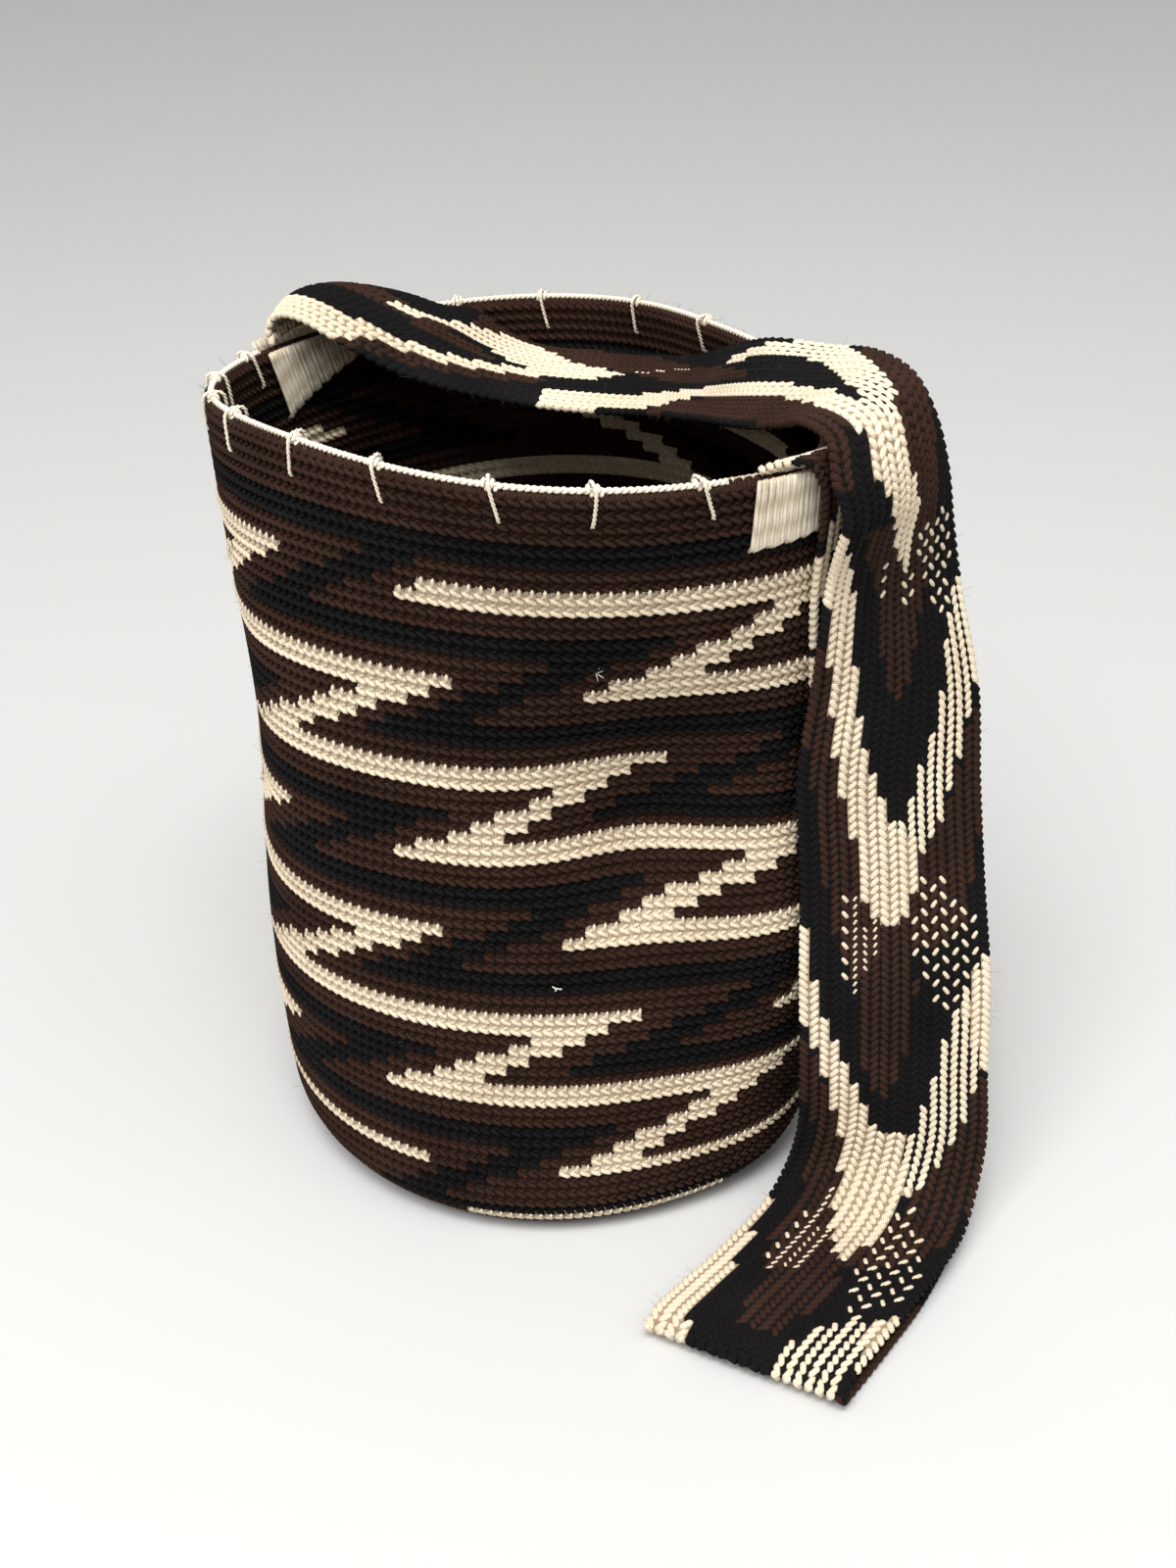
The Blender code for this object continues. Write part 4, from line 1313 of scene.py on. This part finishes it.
@dataclass
class RimEdging:
    """The twisted thread along the rim, and the blanket stitches that hold it."""

    shape: WallShape
    thread_radius: float = 0.00108
    tick_radius: float = 0.00068
    tick_length: float = 0.0100
    clearance: float = CLEARANCE
    lay: float = 0.0042
    tick_lay: float = 0.0036
    step: float = 0.00065
    tick_step: float = 0.0008
    lean: float = math.radians(1.1)
    inside_yarn: float = 0.0012
    tail: float = 0.001
    slack: float = 0.0004
    knot_turn: float = 0.011
    knot_width: float = 0.0012
    arcs: tuple[tuple[float, float], ...] = ((-19, 106), (146, 302))
    ticks: tuple[float, ...] = (63, 85, 101, 151, 169, 188, 206, 231, 251, 270, 284, 298)
    hidden_ticks: tuple[float, ...] = (9, 35)

    def build(self) -> list[bpy.types.Object]:
        """Build the thread and the stitches.

        Returns:
            The edging's pieces.
        """
        pieces = []
        for name, (first, last) in zip(("rim_cord_back", "rim_cord_front"), self.arcs):
            parts = MeshParts()
            add_twisted(parts, self._path(first, last), self.thread_radius, self.lay)
            piece = parts.build(name, [THREAD_FINISH])
            pieces.append(set_on_frame(piece, "rim_thread", name.replace("cord", "thread")))
        parts = MeshParts()
        for number, angle in enumerate(self.ticks + self.hidden_ticks):
            self._tick(parts, math.radians(angle), number)
        nodes = [f"rim_stitch_{number:02d}" for number in range(1, len(self.ticks) + 1)]
        stitches = parts.build("blanket_stitches", [THREAD_FINISH])
        return [*pieces, set_on_frame(stitches, "rim_thread", *nodes)]

    def _path(self, first: float, last: float) -> Array:
        """Return the thread's path, drawn a little straight from stitch to stitch."""
        turn = np.radians(np.linspace(first, last, 200))
        seat = self.clearance + self.thread_radius
        path = self.shape.point(turn, self.shape.rim_height(turn) + seat, -self.shape.thickness / 2)
        return spaced(path, self.step)

    def _tick(self, parts: MeshParts, angle: float, number: int) -> None:
        """Add one blanket stitch: a leg down the outside, a knot and a leg down the inside.

        Args:
            parts: What it is added to.
            angle: Where it is on the rim.
            number: Its number, which sets how it leans.
        """
        lean = self.lean * math.sin(number * 2.4)
        top = float(self.shape.rim_height(np.array(angle)))
        low, middle = top - self.tick_length, top - self.tick_length / 2
        beside = top + self.thread_radius
        off = self.clearance + self.tick_radius
        over = top + 2 * self.clearance + 2 * self.thread_radius + off
        inside = -self.shape.thickness - self.inside_yarn - off
        thread_out = off + self.thread_radius - self.shape.thickness / 2
        steps = (
            (1.0, low - self.tail, -self.tail), (1.0, low, off + self.slack),
            (0.5, middle, off + self.clearance), (0.0, beside, off + self.slack),
            (0.0, over, thread_out), (0.0, over, inside - thread_out + off),
            (0.0, beside, inside), (-0.5, middle, inside),
            (-1.0, low, inside), (-1.0, low - self.tail, inside + 2 * self.tail),
        )
        path = np.array([
            self.shape.point(angle + lean * turn, height, past) for turn, height, past in steps
        ])
        add_twisted(parts, spaced(rounded(path), self.tick_step), self.tick_radius, self.tick_lay, 5)
        for shift in (-self.knot_turn, self.knot_turn):
            self._knot(parts, angle + shift)

    def _knot(self, parts: MeshParts, angle: float) -> None:
        """Add one tight turn of thread round the rim thread."""
        seat = self.clearance + self.thread_radius
        turn = np.linspace(0.0, FULL_TURN * 0.97, 15)
        top = self.shape.rim_height(np.array(angle)) + seat
        centre = self.shape.point(angle, top, -self.shape.thickness / 2)
        outward = np.array([math.cos(angle), math.sin(angle), 0.0])
        sideways = np.array([-math.sin(angle), math.cos(angle), 0.0])
        path = centre + (self.thread_radius + self.slack) * (
            np.cos(turn)[:, None] * outward + np.sin(turn)[:, None] * np.array([0.0, 0.0, 1.0])
        ) + (turn / FULL_TURN - 0.5)[:, None] * sideways * self.knot_width
        add_strand(parts, path, self.tick_radius, 5)


@dataclass
class SatinBindings:
    """The dense parallel stitches that sew the strap's two ends to the rim."""

    shape: WallShape
    depth: float = 0.0235
    pitch: float = 0.0013
    radius: float = 0.00074
    lean: float = 0.9
    clearance: float = CLEARANCE
    yarn_height: float = 0.0006
    bend: float = 0.003
    tuck: tuple[float, float] = (0.0006, 0.0004)
    uneven_out: float = 0.00022
    uneven_length: float = 0.0005
    uneven_turn: float = 0.0009
    patches: tuple[tuple[str, float, float, bool, float, float, float], ...] = (
        ("strap_binding_left_outer", 121, 145, True, 0.004, 1.0, 1.0),
        ("strap_binding_left_inner", 121, 145.5, False, 0.001, 0.4, 1.1),
        ("strap_binding_right_outer", -54.5, -24, True, 0.0012, 1.0, 0.8),
        ("strap_binding_right_inner", -58, -24, False, 0.0, 1.0, 1.0),
    )

    def build(self) -> list[bpy.types.Object]:
        """Build the four patches of stitches.

        Returns:
            A piece for each patch.
        """
        pieces = []
        for node, first, last, outside, above, first_depth, last_depth in self.patches:
            parts = MeshParts()
            ends = self.shape.point(np.radians([first, last]), 0.3)
            threads = round(float(np.linalg.norm(ends[1] - ends[0])) / self.pitch)
            for thread in range(threads):
                share = (thread + 0.5) / threads
                depth = self.depth * (first_depth + (last_depth - first_depth) * share)
                turn = math.radians(first + (last - first) * share)
                self._thread(parts, turn, thread, outside, above, depth)
            name = node.replace("strap_binding", "satin")
            pieces.append(set_on_frame(parts.build(name, [SATIN_FINISH]), "satin_thread", node))
        return pieces

    def _thread(
        self, parts: MeshParts, turn: float, number: int, outside: bool, above: float, depth: float
    ) -> None:
        """Add one stitch, its ends tucked into the wall."""
        top = float(self.shape.rim_height(np.array(turn))) + above
        seat = self.clearance + self.radius + self.yarn_height + self.uneven_out * math.sin(number * 2.6)
        past = seat if outside else -self.shape.thickness - self.yarn_height - seat
        tucked = 0.0 if outside else -self.shape.thickness
        low = top - depth - above + self.uneven_length * math.sin(number * 5.1)
        heights = [low - self.tuck[0], low + self.tuck[1], low + self.bend]
        heights += [(low + top) / 2, top - self.bend, top]
        reach = [tucked, past, past, past, past, past]
        path = np.array([
            self.shape.point(
                turn + self.uneven_turn * math.sin(number * 3.3 + step) - self.lean * (top - height),
                height,
                distance,
            )
            for step, (height, distance) in enumerate(zip(heights, reach))
        ])
        add_strand(parts, spaced(rounded(path, 1), self.bend), self.radius)


@dataclass
class LooseFibres:
    """The fuzz of loose fibres on the wall and the strap, and the bits of lint caught in the wall."""

    shape: WallShape
    strap: WovenStrap
    on_wall: int = 900
    on_rim: int = 260
    on_strap: int = 900
    radius: float = 0.000045
    lengths: tuple[float, float] = (0.0012, 0.0032)
    curl: float = 0.35
    wall_heights: tuple[float, float] = (0.01, 0.29)
    seed: int = 11
    lint: tuple[tuple[float, float, float, float, int], ...] = (
        (271.3, 44.2, 0.0022, 0.00034, 3),
        (281.5, 15.0, 0.0030, 0.00013, 6),
    )

    def build(self) -> list[bpy.types.Object]:
        """Build the fuzz and the lint.

        Returns:
            The fibres of the wall, of the strap, and the lint.
        """
        draw = np.random.default_rng(self.seed)
        turn = draw.uniform(0.0, FULL_TURN, self.on_wall + self.on_rim)
        on_wall = draw.uniform(*self.wall_heights, self.on_wall)
        height = np.concatenate([on_wall, self.shape.rim_height(turn[self.on_wall:])])
        root = self.shape.point(turn, height, 0.0003)
        out = np.stack([np.cos(turn), np.sin(turn), 0.25 + 0 * turn], 1)
        out[self.on_wall:, 2] = 1.4
        wall = self._fuzz("wall_fibres", "body_yarn", root, out, draw)
        along = draw.uniform(0.0, self.strap.knots[-1], self.on_strap)
        cut = self.strap.sections(along)
        share = np.clip(draw.beta(0.35, 0.35, self.on_strap), 0.01, 0.99)[:, None]
        root = self.strap.across(cut, share)
        out = unit((cut[:, 3:6] - cut[:, :3])) * (share * 2 - 1) + draw.normal(0.0, 0.5, root.shape)
        strap = self._fuzz("strap_fibres", "strap_yarn", root, out, draw)
        return [wall, strap, self._lint(draw)]

    def _fuzz(
        self, name: str, slot: str, root: Array, out: Array, draw: np.random.Generator
    ) -> bpy.types.Object:
        """Build short curved fibres that stand on some points.

        Args:
            name: The piece's name.
            slot: Handed on to set_on_frame, which does not use it.
            root: Where each fibre starts.
            out: The way that each one stands.
            draw: The source of its irregularity.

        Returns:
            The finished piece.
        """
        parts = MeshParts()
        share = np.linspace(0.0, 1.0, 4)[:, None]
        for point, way in zip(root, unit(out)):
            length = draw.uniform(*self.lengths)
            bend = draw.normal(0.0, self.curl, 3)
            path = point + (way * share + bend * share * share) * length
            path[:, 2] = np.maximum(path[:, 2], 0.0004)
            add_strand(parts, path, self.radius, 3)
        return set_on_frame(parts.build(name, [FIBRE_FINISH]), slot)

    def _lint(self, draw: np.random.Generator) -> bpy.types.Object:
        """Build the pale bits of lint, each a few short fibres that start at one place."""
        parts = MeshParts()
        for angle, row, length, radius, fibres in self.lint:
            turn = np.array([math.radians(angle)])
            root = self.shape.on_round(turn, row, 0.0010)[0]
            for _ in range(fibres):
                way = unit(draw.normal(0.0, 1.0, 3)) * np.array([1.0, 0.3, 1.0])
                path = root + way * length * np.linspace(0.0, 1.0, 4)[:, None]
                add_strand(parts, path, radius, 4)
        return set_on_frame(parts.build("lint", [LINT_FINISH]), "body_yarn")


@dataclass
class Studio:
    """The pale floor, the soft light and the camera at the photograph's angle."""

    eye: tuple[float, float, float] = (0.0154, -0.6668, 0.537)
    pitch: float = 0.548223
    roll: float = 0.026214
    lens: float = 46.125
    sensor: float = 36.0
    floor_size: float = 40.0
    floor_colour: Colour = (0.60, 0.60, 0.59)
    sky_colour: Colour = (1.0, 0.99, 0.97)
    sky_strength: float = 0.60
    target: tuple[float, float, float] = (0.0, 0.0, 0.15)
    lamps: tuple[tuple[str, tuple[float, float, float], float, float], ...] = (
        ("top_lamp", (-0.55, -1.25, 2.1), 1.2, 43.0),
        ("mouth_lamp", (0.05, -0.85, 1.95), 0.6, 17.0),
        ("side_lamp", (0.95, -0.75, 2.0), 1.0, 8.0),
    )

    def build(self) -> None:
        """Build the studio round the bag."""
        self._floor()
        self._light()
        self._camera()

    def _floor(self) -> None:
        """Lay the pale floor that the bag stands on."""
        bpy.ops.object.select_all(action="DESELECT")
        bpy.ops.mesh.primitive_plane_add(size=self.floor_size, location=(0.0, 0.0, 0.0))
        floor = bpy.context.active_object
        floor.name = "studio_floor"
        pale = bpy.data.materials.new("pale floor")
        pale.use_nodes = True
        shader = pale.node_tree.nodes["Principled BSDF"]
        shader.inputs["Base Color"].default_value = (*self.floor_colour, 1.0)
        shader.inputs["Roughness"].default_value = 0.9
        floor.data.materials.append(pale)

    def _light(self) -> None:
        """Light the bag softly from all round, and a little more from above."""
        world = bpy.data.worlds.new("soft sky")
        bpy.context.scene.world = world
        world.use_nodes = True
        sky = world.node_tree.nodes["Background"]
        sky.inputs["Color"].default_value = (*self.sky_colour, 1.0)
        sky.inputs["Strength"].default_value = self.sky_strength
        for name, place, size, power in self.lamps:
            self._lamp(name, place, size, power)

    def _lamp(self, name: str, place: tuple[float, float, float], size: float, power: float) -> None:
        """Hang one soft lamp that shines at the bag."""
        data = bpy.data.lights.new(name, "AREA")
        data.size = size
        data.energy = power
        lamp = bpy.data.objects.new(name, data)
        back = unit(np.array(place) - np.array(self.target))
        side = unit(np.cross((0.0, 0.0, 1.0), back))
        turn = np.stack([side, np.cross(back, side), back], 1)
        lamp.matrix_world = Matrix.Translation(place) @ Matrix(turn.tolist()).to_4x4()
        bpy.context.scene.collection.objects.link(lamp)

    def _camera(self) -> None:
        """Stand the camera where the photograph was taken from."""
        data = bpy.data.cameras.new("view")
        data.lens = self.lens
        data.sensor_width = self.sensor
        camera = bpy.data.objects.new("view", data)
        ahead = np.array([0.0, math.cos(self.pitch), -math.sin(self.pitch)])
        level = np.array([1.0, 0.0, 0.0])
        down = np.cross(ahead, level)
        right = math.cos(self.roll) * level + math.sin(self.roll) * down
        low = -math.sin(self.roll) * level + math.cos(self.roll) * down
        turn = np.stack([right, -low, -ahead], 1)
        camera.matrix_world = Matrix.Translation(self.eye) @ Matrix(turn.tolist()).to_4x4()
        bpy.context.scene.collection.objects.link(camera)
        bpy.context.scene.camera = camera


def main() -> None:
    """Build every sub-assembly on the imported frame, then the studio."""
    logging.basicConfig(level=logging.INFO, format="%(message)s")
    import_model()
    shape = WallShape()
    CrochetBody(shape, ZigzagPattern()).build()
    strap = WovenStrap(shape, StrapPattern())
    strap.build()
    RimEdging(shape).build()
    SatinBindings(shape).build()
    LooseFibres(shape, strap).build()
    Studio().build()
    bpy.context.scene.view_settings.view_transform = "Standard"
    bpy.context.view_layer.update()


if __name__ == "__main__":
    main()
